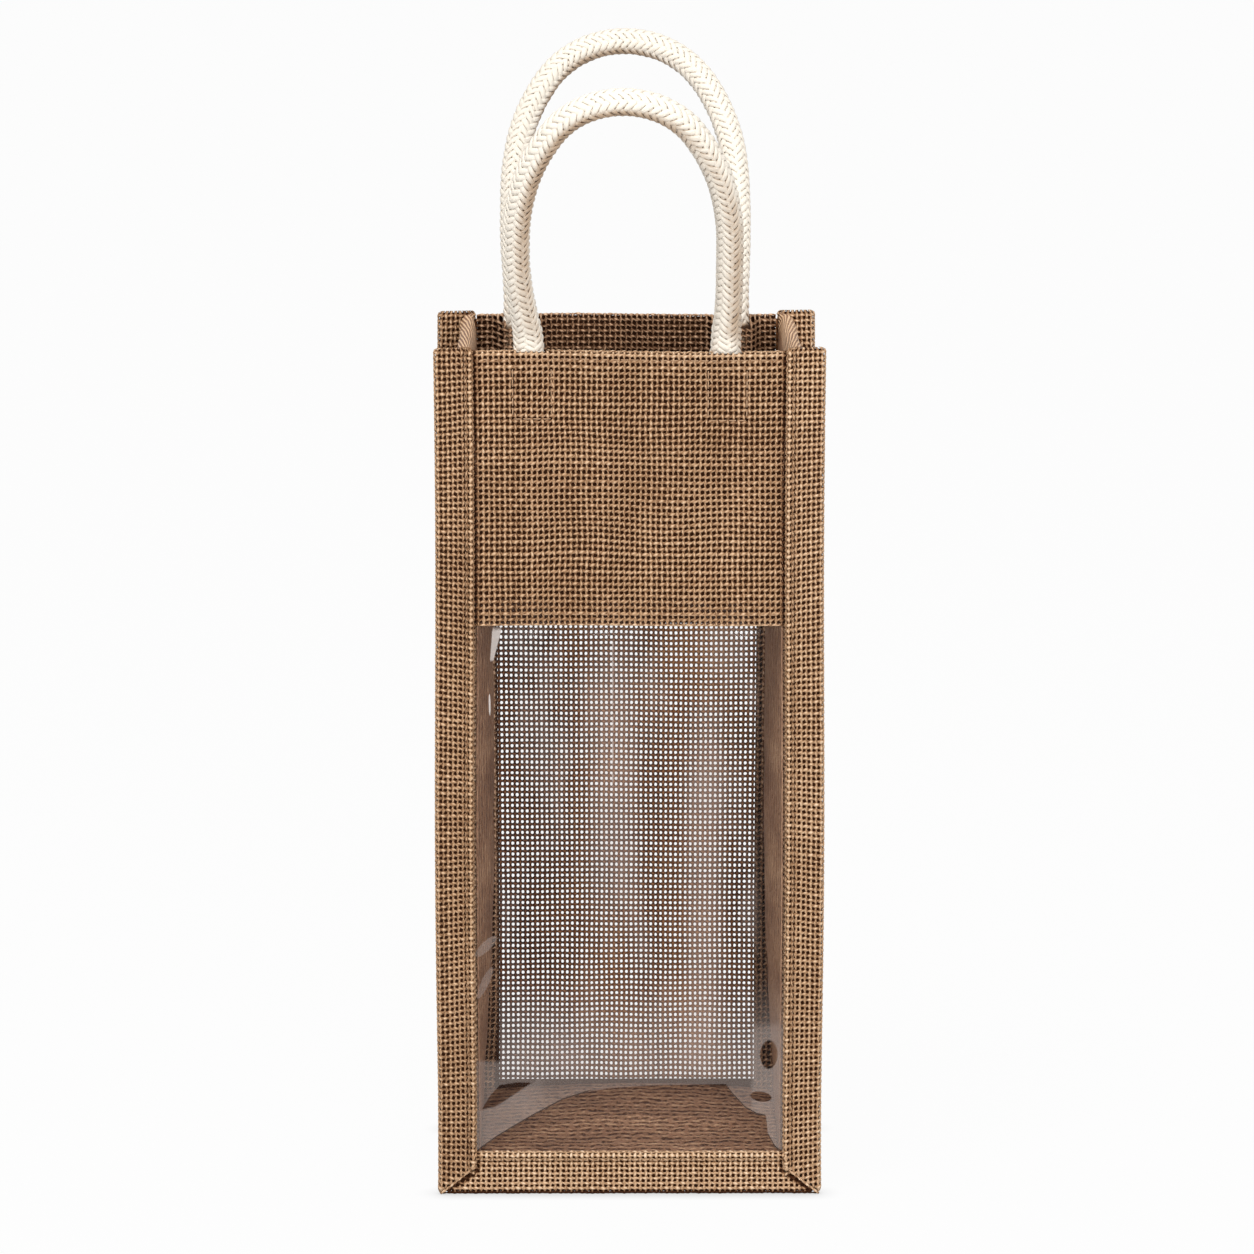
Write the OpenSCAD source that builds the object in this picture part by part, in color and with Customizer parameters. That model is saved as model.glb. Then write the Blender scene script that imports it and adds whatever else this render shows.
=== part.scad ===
// Jute bottle bag with a clear front window and two rope handles.
// X is the width, Y the depth with the front at the negative side, Z the height.
// The origin is on the floor under the middle of the bag.

/* [Body] */
// Width over the two side strips
bag_w = 162; // [140:1:200]
// Height from the floor to the rim
bag_h = 360; // [320:1:420]
// Depth from the front face to the back face
bag_d = 104; // [90:1:130]
// Width of a side strip as seen from the front
seam_w = 17; // [12:0.5:22]
// Height of the floor's top face
floor_z = 18; // [14:0.5:24]
// How far the bottom strip stands above the floor
foot_cover = 1.3; // [0.5:0.1:3]
// How far the side strips stand above the rim
strip_rise = 1; // [0:0.5:3]
// Rounding of the top corners of the side strips
strip_corner_r = 4; // [2:0.5:6]

/* [Cloth] */
// Thickness of one layer of jute
cloth_t = 1; // [0.8:0.1:1.2]
// Thickness of the clear film
film_t = 0.4; // [0.2:0.1:0.6]
// How much narrower the inner leg of a strip is than its outer leg
leg_short = 3; // [1:0.5:5]
// Gap between two strips where they meet on the slant
mitre_gap = 0.2; // [0.1:0.1:0.5]
// Gap left at the edges of a layer inside a fold
edge_gap = 0.1; // [0.1:0.1:0.3]

/* [Front] */
// Height of the jute panel above the window
front_panel_h = 116; // [90:1:150]
// How far the film reaches up behind the panel
film_tuck = 12; // [8:1:20]
// Height over which the film steps back behind the panel
film_step_h = 3; // [2:0.5:5]

/* [Hem] */
// Height of the turned hem at the rim of the back panel
hem_h = 40; // [36:1:60]
// Width of the turned hems down both sides of the back panel
side_hem_w = 8.5; // [5:0.5:14]
// Height of the turned hem at the top of each side
gusset_hem_h = 25; // [15:1:40]

/* [Sides] */
// How far each side bows inwards halfway up
gusset_bow = 5.2; // [0:0.2:10]
// How far each side still bows inwards at the rim
gusset_top_bow = 0.4; // [0:0.2:4]
// Width of the soft roll at the top of each side, where the hem is folded outwards
gusset_roll_w = 8; // [3:0.5:9]
// Height of that roll
gusset_roll_h = 10; // [6:0.5:12]
// Height over the floor at which each side starts to bow
wall_foot_h = 3; // [2:0.5:6]
// Length of the seam allowance under the floor at each side
floor_lip_h = 9; // [5:0.5:12]

/* [Rope] */
// Diameter of the rope
rope_d = 11.5; // [9:0.5:14]
// Diameter of the rope's filling
core_d = 7.4; // [5:0.2:8.4]
// Gap between the filling and the braid
core_gap = 0.1; // [0.1:0.05:0.3]
// Width of a rope end flattened in its pocket
pad_w = 15; // [13:0.5:18]
// Thickness of a rope end flattened in its pocket
pad_t = 8; // [6:0.5:9]
// Height of a rope end flattened in its pocket
pad_h = 23; // [18:1:28]
// How far below the rim the flat part of a rope end stops
pad_drop = 6; // [4:0.5:9]

/* [Handles] */
// How far the front handle's legs stand inside the side strips, at the rope's centre
front_leg_in = 23.6; // [22:0.2:28]
// How much further out the front loop is at its widest than at its legs
front_spread = 2.6; // [2:0.2:7]
// Height of that greatest width above the rim
front_widest = 54; // [50:1:66]
// Height of the front loop's top above the rim, at the rope's centre
front_rise = 116.6; // [112:0.2:130]
// Half angle of the arc at the front loop's top
front_top_angle = 56; // [40:1:62]
// How far the back handle's legs stand inside the side strips, at the rope's centre
back_leg_in = 18.3; // [17.5:0.1:26]
// How much further out the back loop is at its widest than at its legs
back_spread = 1.6; // [1.5:0.1:6]
// Height of that greatest width above the rim
back_widest = 58; // [50:1:66]
// Height of the back loop's top above the rim, at the rope's centre
back_rise = 121.2; // [116:0.2:134]
// Half angle of the arc at the back loop's top
back_top_angle = 56; // [45:1:66]
// Outward lean of each handle as it stands
lean = 27; // [0:1:40]
// How far past upright a handle tips inwards
past_upright = 16; // [5:1:16]
// Height of the bending line above the rim
bend_rise = 4; // [3:0.5:6]
// Space between the bending line and the rope's surface
bend_gap = 1.2; // [0.8:0.1:1.3]

/* [Stitches] */
// Distance from one stitch to the next
stitch_pitch = 8; // [6:0.5:12]
// Length of one stitch
stitch_len = 5.4; // [3:0.1:5.6]
// Width of the thread
stitch_w = 0.8; // [0.5:0.1:1.2]
// Height of the thread above the cloth
stitch_t = 0.3; // [0.2:0.1:0.5]
// Distance of the seam's stitches from the inner edge of a strip
seam_stitch_in = 2.2; // [1.5:0.1:4]
// Distance of the hem's stitches from the rim
hem_stitch_in = 4; // [2:0.5:8]
// Distance of the window's stitches from the panel's lower edge
window_stitch_in = 5; // [3:0.5:8]
// Width of the stitched box that holds a rope end
box_w = 16; // [15:0.5:20]
// Height of the stitched box that holds a rope end
box_h = 22; // [18:0.5:26]
// Distance of that box's top from the rim
box_drop = 7; // [6:0.5:10]
// Length of one stitch of the box
box_stitch_len = 3.2; // [2:0.1:3.4]

/* [Hidden] */
// Overrun of every cut
over = 1;
half_w = bag_w / 2;
half_d = bag_d / 2;
// Depth of each layer's outer face, counted from the middle of the bag
skin_y = half_d;
panel_y = skin_y - cloth_t;
turn_y = panel_y - cloth_t;
leg_y = turn_y - cloth_t;
flange_y = leg_y - cloth_t;
// The hem's inner layer lies one film behind the panel
leaf_y = turn_y - film_t;
// Outer and inner face of a side wall, and how far the layers reach into a strip
wall_out = half_w - seam_w;
wall_in = wall_out - cloth_t;
layer_w = half_w - cloth_t - edge_gap;
inner_w = wall_in - edge_gap;
foot_h = floor_z + foot_cover;
strip_top = bag_h + strip_rise;
window_z = bag_h - front_panel_h;
layer_z = cloth_t + edge_gap;
lip_z = floor_z - floor_lip_h;
bow_z = floor_z + wall_foot_h;
// Handles' places across the bag
front_leg_x = wall_out - front_leg_in;
front_half_w = front_leg_x + front_spread;
back_leg_x = wall_out - back_leg_in;
back_half_w = back_leg_x + back_spread;
// Rope ends
rope_r = rope_d / 2;
core_r = core_d / 2;
bore_r = core_r + core_gap;
rope_y = turn_y - edge_gap - rope_r;
bend_e = rope_r + bend_gap;
bend_y = rope_y + bend_e;
bend_z = bag_h + bend_rise;
pad_top = bag_h - pad_drop;
pad_z = pad_top - pad_h;
pad_y = turn_y - edge_gap;
pad_r = pad_t / 2;
// Pocket of the hem round a rope end
pocket_y = pad_y - pad_t - edge_gap;
pocket_half = pad_w / 2 + edge_gap;
pocket_ramp = pad_t / 2;
pocket_z = pad_z - edge_gap;
// Steps of the side walls' smooth bow
wall_steps = 12;
rise_steps = 10;
bow_reach = leg_y - 3 * cloth_t;
bow_full_share = 0.35;
bow_fade_share = 0.5;
hem_z = bag_h - gusset_hem_h;
roll_z = bag_h - gusset_roll_h;
// Profile of the roll, from below to the rim: height, inset of its inner side and thickness, as shares
roll_line = [[0.12, 0, 0.62], [0.3, 0, 0.88], [0.5, 0, 1], [0.72, 0.03, 0.95], [0.88, 0.12, 0.78],
    [0.97, 0.28, 0.48], [1, 0.42, 0.16]];

// Colours
jute = [0.57, 0.44, 0.32];
jute_light = [0.62, 0.49, 0.37];
jute_inside = [0.47, 0.36, 0.28];
cotton = [0.93, 0.90, 0.85];
thread = [0.80, 0.70, 0.56];
clear = [0.86, 0.88, 0.90, 0.35];

// Sheet between two corners
module sheet(x0, x1, y0, y1, z0, z1) {
    translate([x0, y0, z0]) cube([x1 - x0, y1 - y0, z1 - z0]);
}

// Strips

// Outline of the right side strip from the front, with its slanted foot
module side_outline() {
    polygon([[wall_out, foot_h + mitre_gap], [half_w, mitre_gap],
        [half_w, strip_top - strip_corner_r], [wall_out, strip_top - strip_corner_r]]);
    translate([wall_out + strip_corner_r, foot_h])
        square([seam_w - 2 * strip_corner_r, strip_top - foot_h]);
    for (x = [wall_out + strip_corner_r, half_w - strip_corner_r])
        translate([x, strip_top - strip_corner_r]) circle(r = strip_corner_r, $fn = 48);
}

// Outline of the bottom strip from the front, with both ends slanted
module foot_outline() {
    polygon([[-half_w, 0], [half_w, 0], [wall_out, foot_h], [-wall_out, foot_h]]);
}

// Front right strip: two legs and the fold at the outer edge
module side_strip() {
    intersection() {
        union() {
            sheet(wall_out, half_w, -skin_y, -panel_y, 0, strip_top);
            sheet(half_w - cloth_t, half_w, -skin_y, -flange_y, 0, strip_top);
            sheet(wall_out + leg_short, half_w, -leg_y, -flange_y, 0, strip_top);
        }
        rotate([90, 0, 0])
            linear_extrude(height = skin_y + over) side_outline();
    }
}

// Front bottom strip: two legs and the fold on the floor
module foot_strip() {
    intersection() {
        union() {
            sheet(-half_w, half_w, -skin_y, -panel_y, 0, foot_h);
            sheet(-half_w, half_w, -skin_y, -flange_y, 0, cloth_t);
            sheet(-half_w, half_w, -leg_y, -flange_y, 0, floor_z - cloth_t - edge_gap);
        }
        rotate([90, 0, 0]) linear_extrude(height = skin_y + over) foot_outline();
    }
}

module front_right_binding() { color(jute_light) side_strip(); }
module front_left_binding() { color(jute_light) mirror([1, 0, 0]) side_strip(); }
module front_bottom_binding() { color(jute_light) foot_strip(); }
module back_right_binding() { color(jute_light) mirror([0, 1, 0]) side_strip(); }
module back_left_binding() {
    color(jute_light) mirror([0, 1, 0]) mirror([1, 0, 0]) side_strip();
}
module back_bottom_binding() { color(jute_light) mirror([0, 1, 0]) foot_strip(); }

// Panels

// Inner face of the hem's leaf from above, along X, with a pocket at each rope end
function leaf_line(leg_x, y_flat, y_pocket) = [
    [-inner_w, -y_flat],
    [-leg_x - pocket_half - pocket_ramp, -y_flat], [-leg_x - pocket_half, -y_pocket],
    [-leg_x + pocket_half, -y_pocket], [-leg_x + pocket_half + pocket_ramp, -y_flat],
    [leg_x - pocket_half - pocket_ramp, -y_flat], [leg_x - pocket_half, -y_pocket],
    [leg_x + pocket_half, -y_pocket], [leg_x + pocket_half + pocket_ramp, -y_flat],
    [inner_w, -y_flat]];
function backwards(list) = [for (i = [len(list) - 1:-1:0]) list[i]];

// Leaf of the hem, bulged round the rope ends and closed under them
module pocket_leaf(leg_x, top) {
    translate([0, 0, pocket_z]) linear_extrude(height = top - pocket_z)
        polygon(concat(leaf_line(leg_x, leaf_y, pocket_y),
            backwards(leaf_line(leg_x, leaf_y - cloth_t, pocket_y - cloth_t))));
    translate([0, 0, pocket_z - cloth_t]) linear_extrude(height = cloth_t)
        polygon(concat(leaf_line(leg_x, leaf_y, leaf_y),
            backwards(leaf_line(leg_x, leaf_y - cloth_t, pocket_y - cloth_t))));
}

// Cuts the leaf down beside each rope so that the rope can leave the hem
module pocket_mouths(leg_x) {
    for (s = [-1, 1])
        sheet(s * leg_x - pocket_half - pocket_ramp, s * leg_x + pocket_half + pocket_ramp,
            -leaf_y - edge_gap, -pocket_y + cloth_t + over, pad_top, bag_h + over);
}

// One panel with its hem turned in at the rim
module hemmed_panel(panel_z, leaf_z, leg_x) {
    difference() {
        union() {
            sheet(-layer_w, layer_w, -panel_y, -turn_y, panel_z, bag_h);
            sheet(-inner_w, inner_w, -turn_y, -leaf_y + cloth_t, bag_h - cloth_t, bag_h);
            sheet(-inner_w, inner_w, -leaf_y, -leaf_y + cloth_t, leaf_z, pocket_z);
            pocket_leaf(leg_x, bag_h);
        }
        pocket_mouths(leg_x);
        for (s = [-1, 1])
            sheet(s * leg_x - pocket_half, s * leg_x + pocket_half,
                -turn_y, -pocket_y, pocket_z, bag_h + over);
    }
}

module front_panel() { color(jute) hemmed_panel(window_z, window_z, front_leg_x); }

// Hem down the right side of a panel, turned in at the strip and open at its inner edge
module side_hem() {
    sheet(inner_w - side_hem_w, inner_w, -leaf_y, -leaf_y + cloth_t, bow_z, bag_h - hem_h);
    sheet(inner_w - cloth_t, inner_w, -turn_y, -leaf_y + cloth_t, bow_z, bag_h - hem_h);
}

module back_panel() {
    color(jute) mirror([0, 1, 0]) {
        hemmed_panel(layer_z, bag_h - hem_h, back_leg_x);
        for (s = [0, 1]) mirror([s, 0, 0]) side_hem();
    }
}

// Clear sheet behind the strips, stepping back between the panel's two layers
// The film's profile from the side, as far out as the strips or the panel hold it
module film_strip(half_width) {
    step_z = window_z - film_step_h;
    translate([-half_width, 0, 0]) rotate([90, 0, 90]) linear_extrude(height = 2 * half_width)
        polygon([[-panel_y, layer_z], [-panel_y + film_t, layer_z], [-panel_y + film_t, step_z],
            [-turn_y + film_t, window_z - film_t], [-turn_y + film_t, window_z + film_tuck],
            [-turn_y, window_z + film_tuck], [-turn_y, window_z - film_t], [-panel_y, step_z]]);
}
module window_film() {
    color(clear) {
        film_strip(inner_w);
        sheet(-layer_w, layer_w, -panel_y, -panel_y + film_t, layer_z, window_z - film_step_h);
    }
}

// Sides and floor

// The bow grows from the foot, holds past the middle and fades towards the rim
function bow_y_share(y) = abs(y) >= bow_reach ? 0 : cos(90 * y / bow_reach);
function bow_at(z) = let (v = (z - bow_z) / (bag_h - bow_z))
    v <= 0 ? 0 : gusset_bow * sin(90 * min(1, v / bow_full_share))
        - (gusset_bow - gusset_top_bow) * pow(max(0, (v - bow_fade_share) / (1 - bow_fade_share)), 2);
function wall_y(k) = bow_reach * (2 * k / wall_steps - 1);
function wall_bow(y, z) = bow_y_share(y) * bow_at(z);

// Face towards the bag's inside and face towards the outside, from front to back.
// A level is [height, inset of the inner side, thickness], and the edges keep the cloth's own
function wall_t(z) = z > hem_z ? 2 * cloth_t : cloth_t;
edge_y = flange_y - edge_gap;
function face_in(l) = concat([[layer_w, -turn_y], [wall_in, -turn_y], [wall_in, -edge_y]],
    [for (k = [0:wall_steps]) [wall_in + l[1] - wall_bow(wall_y(k), l[0]), wall_y(k)]],
    [[wall_in, edge_y], [wall_in, turn_y], [layer_w, turn_y]]);
function face_out(l) = let (x = wall_in + wall_t(l[0])) concat(
    [[layer_w, -leg_y], [x, -leg_y], [x, -edge_y]],
    [for (k = [0:wall_steps]) [wall_in + l[1] + l[2] - wall_bow(wall_y(k), l[0]), wall_y(k)]],
    [[x, edge_y], [x, leg_y], [layer_w, leg_y]]);

gusset_levels = concat(
    [for (z = concat([lip_z, bow_z],
        [for (i = [1:rise_steps]) bow_z + (hem_z - bow_z) * i / rise_steps],
        [hem_z + cloth_t, roll_z])) [z, 0, wall_t(z)]],
    [for (r = roll_line) [roll_z + gusset_roll_h * r[0], gusset_roll_w * r[1], gusset_roll_w * r[2]]]);

// Side wall with its edges turned out into the strips, as one smooth skin
module side_wall() {
    n = wall_steps + 7;
    levels = len(gusset_levels);
    points = [for (l = gusset_levels) for (p = concat(face_in(l), backwards(face_out(l))))
        [p[0], p[1], l[0]]];
    ring = 2 * n;
    sides = [for (i = [0:levels - 2]) for (j = [0:ring - 1])
        let (a = i * ring + j, b = i * ring + (j + 1) % ring)
        each [[a, b, b + ring], [a, b + ring, a + ring]]];
    top = (levels - 1) * ring;
    ends = [for (k = [0:n - 2]) let (a = k, b = k + 1, c = ring - 2 - k, d = ring - 1 - k)
        each [[a, c, b], [a, d, c],
            [top + a, top + b, top + c], [top + a, top + c, top + d]]];
    polyhedron(points = points, faces = [for (f = concat(sides, ends)) backwards(f)]);
}

// Side wall notched under the floor, where the inner legs of the bottom strips pass
module notched_wall() {
    difference() {
        side_wall();
        for (s = [0, 1]) mirror([0, s, 0])
            sheet(wall_in - over, wall_out, -leg_y, -flange_y + edge_gap,
                lip_z - over, floor_z - cloth_t);
    }
}

module right_gusset() { color(jute_inside) notched_wall(); }
module left_gusset() { color(jute_inside) mirror([1, 0, 0]) notched_wall(); }

// Raised floor with its edges turned down into the bottom strips and beside the walls
module base_panel() {
    color(jute_inside) {
        sheet(-inner_w, inner_w, -turn_y, turn_y, floor_z - cloth_t, floor_z);
        for (s = [0, 1]) mirror([0, s, 0])
            sheet(-inner_w, inner_w, -turn_y, -leg_y, layer_z, floor_z);
        for (s = [0, 1]) mirror([s, 0, 0])
            sheet(inner_w - cloth_t, inner_w, -flange_y + edge_gap, flange_y - edge_gap,
                lip_z, floor_z);
    }
}

// Handles

// A loop is given as [leg_x, half_w, widest, rise, top_angle]
front_loop = [front_leg_x, front_half_w, front_widest, front_rise, front_top_angle];
back_loop = [back_leg_x, back_half_w, back_widest, back_rise, back_top_angle];
function arc_step(l) = (l[3] - l[2] - l[1]) / (cos(l[4]) + sin(l[4]) - 1);
function top_r(l) = l[1] - arc_step(l) * (1 - sin(l[4]));
function shoulder_r(l) = top_r(l) + arc_step(l);
function leg_turn(l) = 2 * atan((l[1] - l[0]) / l[2]);
function leg_r(l) = l[2] / sin(leg_turn(l));
function bend_turn(l) = asin((l[2] - bend_rise) / leg_r(l));
function bend_x(l) = l[1] - leg_r(l) * (1 - cos(bend_turn(l)));

// The rope's centre line as [x, z, angle of the outward normal], from right to left
leg_steps = 6;
shoulder_steps = 8;
top_steps = 10;
rope_sides = 16;
end_sides = 24;
function arc_points(cx, cz, r, a0, a1, n, first) = [for (i = [first:n])
    let (a = a0 + (a1 - a0) * i / n) [cx + r * cos(a), cz + r * sin(a), a]];
function loop_line(l) = let (step = arc_step(l), t = l[4], cz = l[3] - top_r(l),
    sx = step * sin(t), sz = cz - step * cos(t), leg = l[1] - leg_r(l), b = bend_turn(l)) concat(
    arc_points(leg, l[2], leg_r(l), -b, 0, leg_steps, 0),
    arc_points(-sx, sz, shoulder_r(l), 0, 90 - t, shoulder_steps, 1),
    arc_points(0, cz, top_r(l), 90 - t, 90 + t, top_steps, 1),
    arc_points(sx, sz, shoulder_r(l), 90 + t, 180, shoulder_steps, 1),
    arc_points(-leg, l[2], leg_r(l), 180, 180 + b, leg_steps, 1));

// Slides a point of an end ring along the rope onto the slanted plane through the bending line
function on_slant(p, a) = let (t = ((p[1] + bend_e) * sin(past_upright)
    - (p[2] - bend_rise) * cos(past_upright)) / (cos(a) * cos(past_upright)))
    [p[0] - sin(a) * t, p[1], p[2] + cos(a) * t];
function rope_ring(c, r, is_end) = [for (j = [0:rope_sides - 1])
    let (w = 360 * j / rope_sides, q = r * cos(w),
        p = [c[0] + q * cos(c[2]), r * sin(w), c[1] + q * sin(c[2])])
    is_end ? on_slant(p, c[2]) : p];
function tube_faces(base, rings, n) = [for (i = [0:rings - 2]) for (j = [0:n - 1])
    let (a = base + i * n + j, b = base + i * n + (j + 1) % n)
    each [[a, b, b + n], [a, b + n, a + n]]];

// Loop standing upright over the rim, its plane at Y zero and the rim at Z zero
module upright_loop(l, outer, inner) {
    line = loop_line(l);
    rings = len(line);
    skin = [for (i = [0:rings - 1]) each rope_ring(line[i], outer, i == 0 || i == rings - 1)];
    last = (rings - 1) * rope_sides;
    if (inner == 0)
        polyhedron(points = skin, faces = concat(tube_faces(0, rings, rope_sides),
            [[for (j = [rope_sides - 1:-1:0]) j], [for (j = [0:rope_sides - 1]) last + j]]));
    else {
        hole = [for (i = [0:rings - 1]) each rope_ring(line[i], inner, i == 0 || i == rings - 1)];
        h = len(skin);
        rims = [for (j = [0:rope_sides - 1]) let (k = (j + 1) % rope_sides) each [
            [j, h + k, k], [j, h + j, h + k],
            [last + j, last + k, h + last + k], [last + j, h + last + k, h + last + j]]];
        polyhedron(points = concat(skin, hole), faces = concat(tube_faces(0, rings, rope_sides),
            [for (f = tube_faces(h, rings, rope_sides)) backwards(f)], rims));
    }
}

// The moving loop of the front handle, leaning out about the bending line
module leaning_loop(l, outer, inner) {
    translate([0, -bend_y, bend_z]) rotate([lean, 0, 0])
        translate([0, bend_e, -bend_rise]) upright_loop(l, outer, inner);
}

// One ring of a rope end: round, or flattened against the panel
function round_ring(x, z) = [for (j = [0:end_sides - 1]) let (w = 360 * (j + 0.5) / end_sides)
    [x + rope_r * cos(w), rope_r * sin(w) - rope_y, z]];
function flat_ring(x, z) = [for (j = [0:end_sides - 1]) let (w = 360 * (j + 0.5) / end_sides)
    [x + sign(cos(w)) * (pad_w / 2 - pad_r) + pad_r * cos(w), pad_r + pad_r * sin(w) - pad_y, z]];

// The two ends of the front rope: round above the rim, flattened in the hem
module rope_ends(l) {
    rim_x = bend_x(l) - bend_rise * tan(bend_turn(l));
    points = concat(flat_ring(l[0], pad_z), flat_ring(l[0], pad_top), round_ring(rim_x, bag_h),
        round_ring(bend_x(l), bend_z));
    last = 3 * end_sides;
    for (s = [0, 1]) mirror([s, 0, 0])
        polyhedron(points = points, faces = concat(
            [for (f = tube_faces(0, 4, end_sides)) backwards(f)],
            [[for (j = [0:end_sides - 1]) j], [for (j = [end_sides - 1:-1:0]) last + j]]));
}

module front_handle_cover() { color(cotton) leaning_loop(front_loop, rope_r, bore_r); }
module front_handle_core() { color(cotton) leaning_loop(front_loop, core_r, 0); }
module front_handle_ends() { color(cotton) rope_ends(front_loop); }
module back_handle_cover() { color(cotton) mirror([0, 1, 0]) leaning_loop(back_loop, rope_r, bore_r); }
module back_handle_core() { color(cotton) mirror([0, 1, 0]) leaning_loop(back_loop, core_r, 0); }
module back_handle_ends() { color(cotton) mirror([0, 1, 0]) rope_ends(back_loop); }

// Stitches

// Stitches along X on an outer face, between two places
module row_x(x0, x1, z, y, pitch, length) {
    n = max(1, floor((x1 - x0) / pitch));
    for (i = [0:n - 1])
        translate([(x0 + x1 - length) / 2 + (i - (n - 1) / 2) * pitch, -y - stitch_t, z - stitch_w / 2])
            cube([length, stitch_t, stitch_w]);
}

// Stitches along Z on an outer face, between two heights
module row_z(z0, z1, x, y, pitch, length) {
    n = max(1, floor((z1 - z0) / pitch));
    for (i = [0:n - 1])
        translate([x - stitch_w / 2, -y - stitch_t, (z0 + z1 - length) / 2 + (i - (n - 1) / 2) * pitch])
            cube([stitch_w, stitch_t, length]);
}

// The seam through the three strips of the front
module seam_rows() {
    for (s = [0, 1]) mirror([s, 0, 0])
        row_z(foot_h + seam_stitch_in, bag_h, wall_out + seam_stitch_in, skin_y,
            stitch_pitch, stitch_len);
    row_x(-wall_out, wall_out, foot_h - seam_stitch_in, skin_y, stitch_pitch, stitch_len);
}

// Box of stitches over each rope end of the front handle
module box_rows(leg_x) {
    top = bag_h - box_drop;
    pitch = box_stitch_len + stitch_w;
    for (s = [-1, 1]) {
        for (z = [top - box_h, top])
            row_x(s * leg_x - box_w / 2, s * leg_x + box_w / 2, z, panel_y, pitch, box_stitch_len);
        for (e = [-1, 1])
            row_z(top - box_h + stitch_w, top - stitch_w, s * leg_x + e * box_w / 2, panel_y,
                pitch, box_stitch_len);
    }
}

module window_stitches() {
    color(thread) row_x(-wall_in, wall_in, window_z + window_stitch_in, panel_y,
        stitch_pitch, stitch_len);
}
module front_seam_stitches() { color(thread) seam_rows(); }
module back_seam_stitches() { color(thread) mirror([0, 1, 0]) seam_rows(); }
module hem_stitches() {
    color(thread) {
        for (s = [0, 1]) mirror([0, s, 0])
            row_x(-wall_in, wall_in, bag_h - hem_stitch_in, panel_y, stitch_pitch, stitch_len);
        mirror([0, 1, 0])
            row_x(-wall_in, wall_in, bag_h - hem_h + hem_stitch_in, panel_y,
                stitch_pitch, stitch_len);
    }
}
module front_handle_stitches() { color(thread) box_rows(front_leg_x); }
module back_handle_stitches() { color(thread) mirror([0, 1, 0]) box_rows(back_leg_x); }

front_panel();
window_film();
front_left_binding();
front_right_binding();
front_bottom_binding();
back_panel();
back_left_binding();
back_right_binding();
back_bottom_binding();
left_gusset();
right_gusset();
base_panel();
front_handle_cover();
front_handle_core();
front_handle_ends();
back_handle_cover();
back_handle_core();
back_handle_ends();
window_stitches();
front_seam_stitches();
back_seam_stitches();
hem_stitches();
front_handle_stitches();
back_handle_stitches();
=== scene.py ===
# %% [markdown]
# # A jute bottle bag with a clear window
# The bag is sewn from open jute cloth: a doubled panel over a clear film window, folded strips round
# every seam, lined side walls, a see-through back and two braided rope handles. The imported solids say
# where everything is. This lesson dresses them: every thread of the cloth is laid as real geometry,
# because at this size the weave is what the eye sees first.

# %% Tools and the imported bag
import math

import bmesh
import bpy
import numpy as np
from mathutils import Matrix


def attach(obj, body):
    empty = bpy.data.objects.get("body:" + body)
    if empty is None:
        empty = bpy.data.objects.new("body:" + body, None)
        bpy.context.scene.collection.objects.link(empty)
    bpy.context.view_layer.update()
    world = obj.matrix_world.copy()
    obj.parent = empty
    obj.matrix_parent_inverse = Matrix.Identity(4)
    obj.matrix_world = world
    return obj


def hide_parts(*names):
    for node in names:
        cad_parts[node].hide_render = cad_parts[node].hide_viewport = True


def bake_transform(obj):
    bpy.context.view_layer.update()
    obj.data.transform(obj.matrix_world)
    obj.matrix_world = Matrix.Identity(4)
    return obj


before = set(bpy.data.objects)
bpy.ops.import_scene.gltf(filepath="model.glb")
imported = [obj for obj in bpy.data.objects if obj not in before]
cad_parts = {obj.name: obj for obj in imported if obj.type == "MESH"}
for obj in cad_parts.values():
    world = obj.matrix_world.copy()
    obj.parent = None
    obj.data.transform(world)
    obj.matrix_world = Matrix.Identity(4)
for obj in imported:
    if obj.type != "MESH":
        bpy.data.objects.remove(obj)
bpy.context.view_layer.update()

# %% [markdown]
# ## The camera
# The photograph was taken from far away with a long lens, a little above the rim. Fitting a camera to
# the eight corners of the bag gives its place, its tilt of 11 degrees and its lens.

# %% The camera
camera_data = bpy.data.cameras.new("camera")
camera_data.lens, camera_data.sensor_width, camera_data.clip_end = 182.3, 36, 30
camera = bpy.data.objects.new("camera", camera_data)
camera.location = (-0.0124, -2.635, 0.757)
camera.rotation_euler = (math.radians(90 - 11.23), 0, math.radians(-0.25))
bpy.context.scene.collection.objects.link(camera)
bpy.context.scene.camera = camera
bpy.context.scene.view_settings.view_transform = "Standard"
print("camera looks", round(math.degrees(camera.rotation_euler.x), 2), "degrees from straight down")

# %% [markdown]
# ## The bag's sizes
# All lengths are in millimetres, counted from the middle of the bag's underside, as in the solids.
# They turn into metres where a mesh is made.

# %% Sizes
MM = 0.001
HALF_W, HALF_D, RIM, STRIP_TOP = 81.0, 52.0, 360.0, 361.0
WINDOW, FLOOR, HEM = 244.0, 18.0, 40.0
BOW, TOP_BOW = 5.2, 0.4  # how far the side walls bow in at mid height and at the rim
LEG_X = {"front": 40.4, "back": 45.7}
PAD_LOW, PAD_TOP = 331.0, 354.0  # where the rope lies flat in the hem
print("bag", 2 * HALF_W, "x", 2 * HALF_D, "x", RIM, "mm")

# %% [markdown]
# ## Words for shader maths
# A material is a sum of noises and masks. One small class wraps a socket, so that such a sum is
# written as plain arithmetic and each sign adds its own Math node. A second class holds one material
# and has a single method for all other nodes: settings first, then the sockets.

# %% Shader maths as expressions
def plug(tree, socket, value):
    if isinstance(value, Value):
        tree.links.new(value.out, socket)
    else:
        socket.default_value = value


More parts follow.
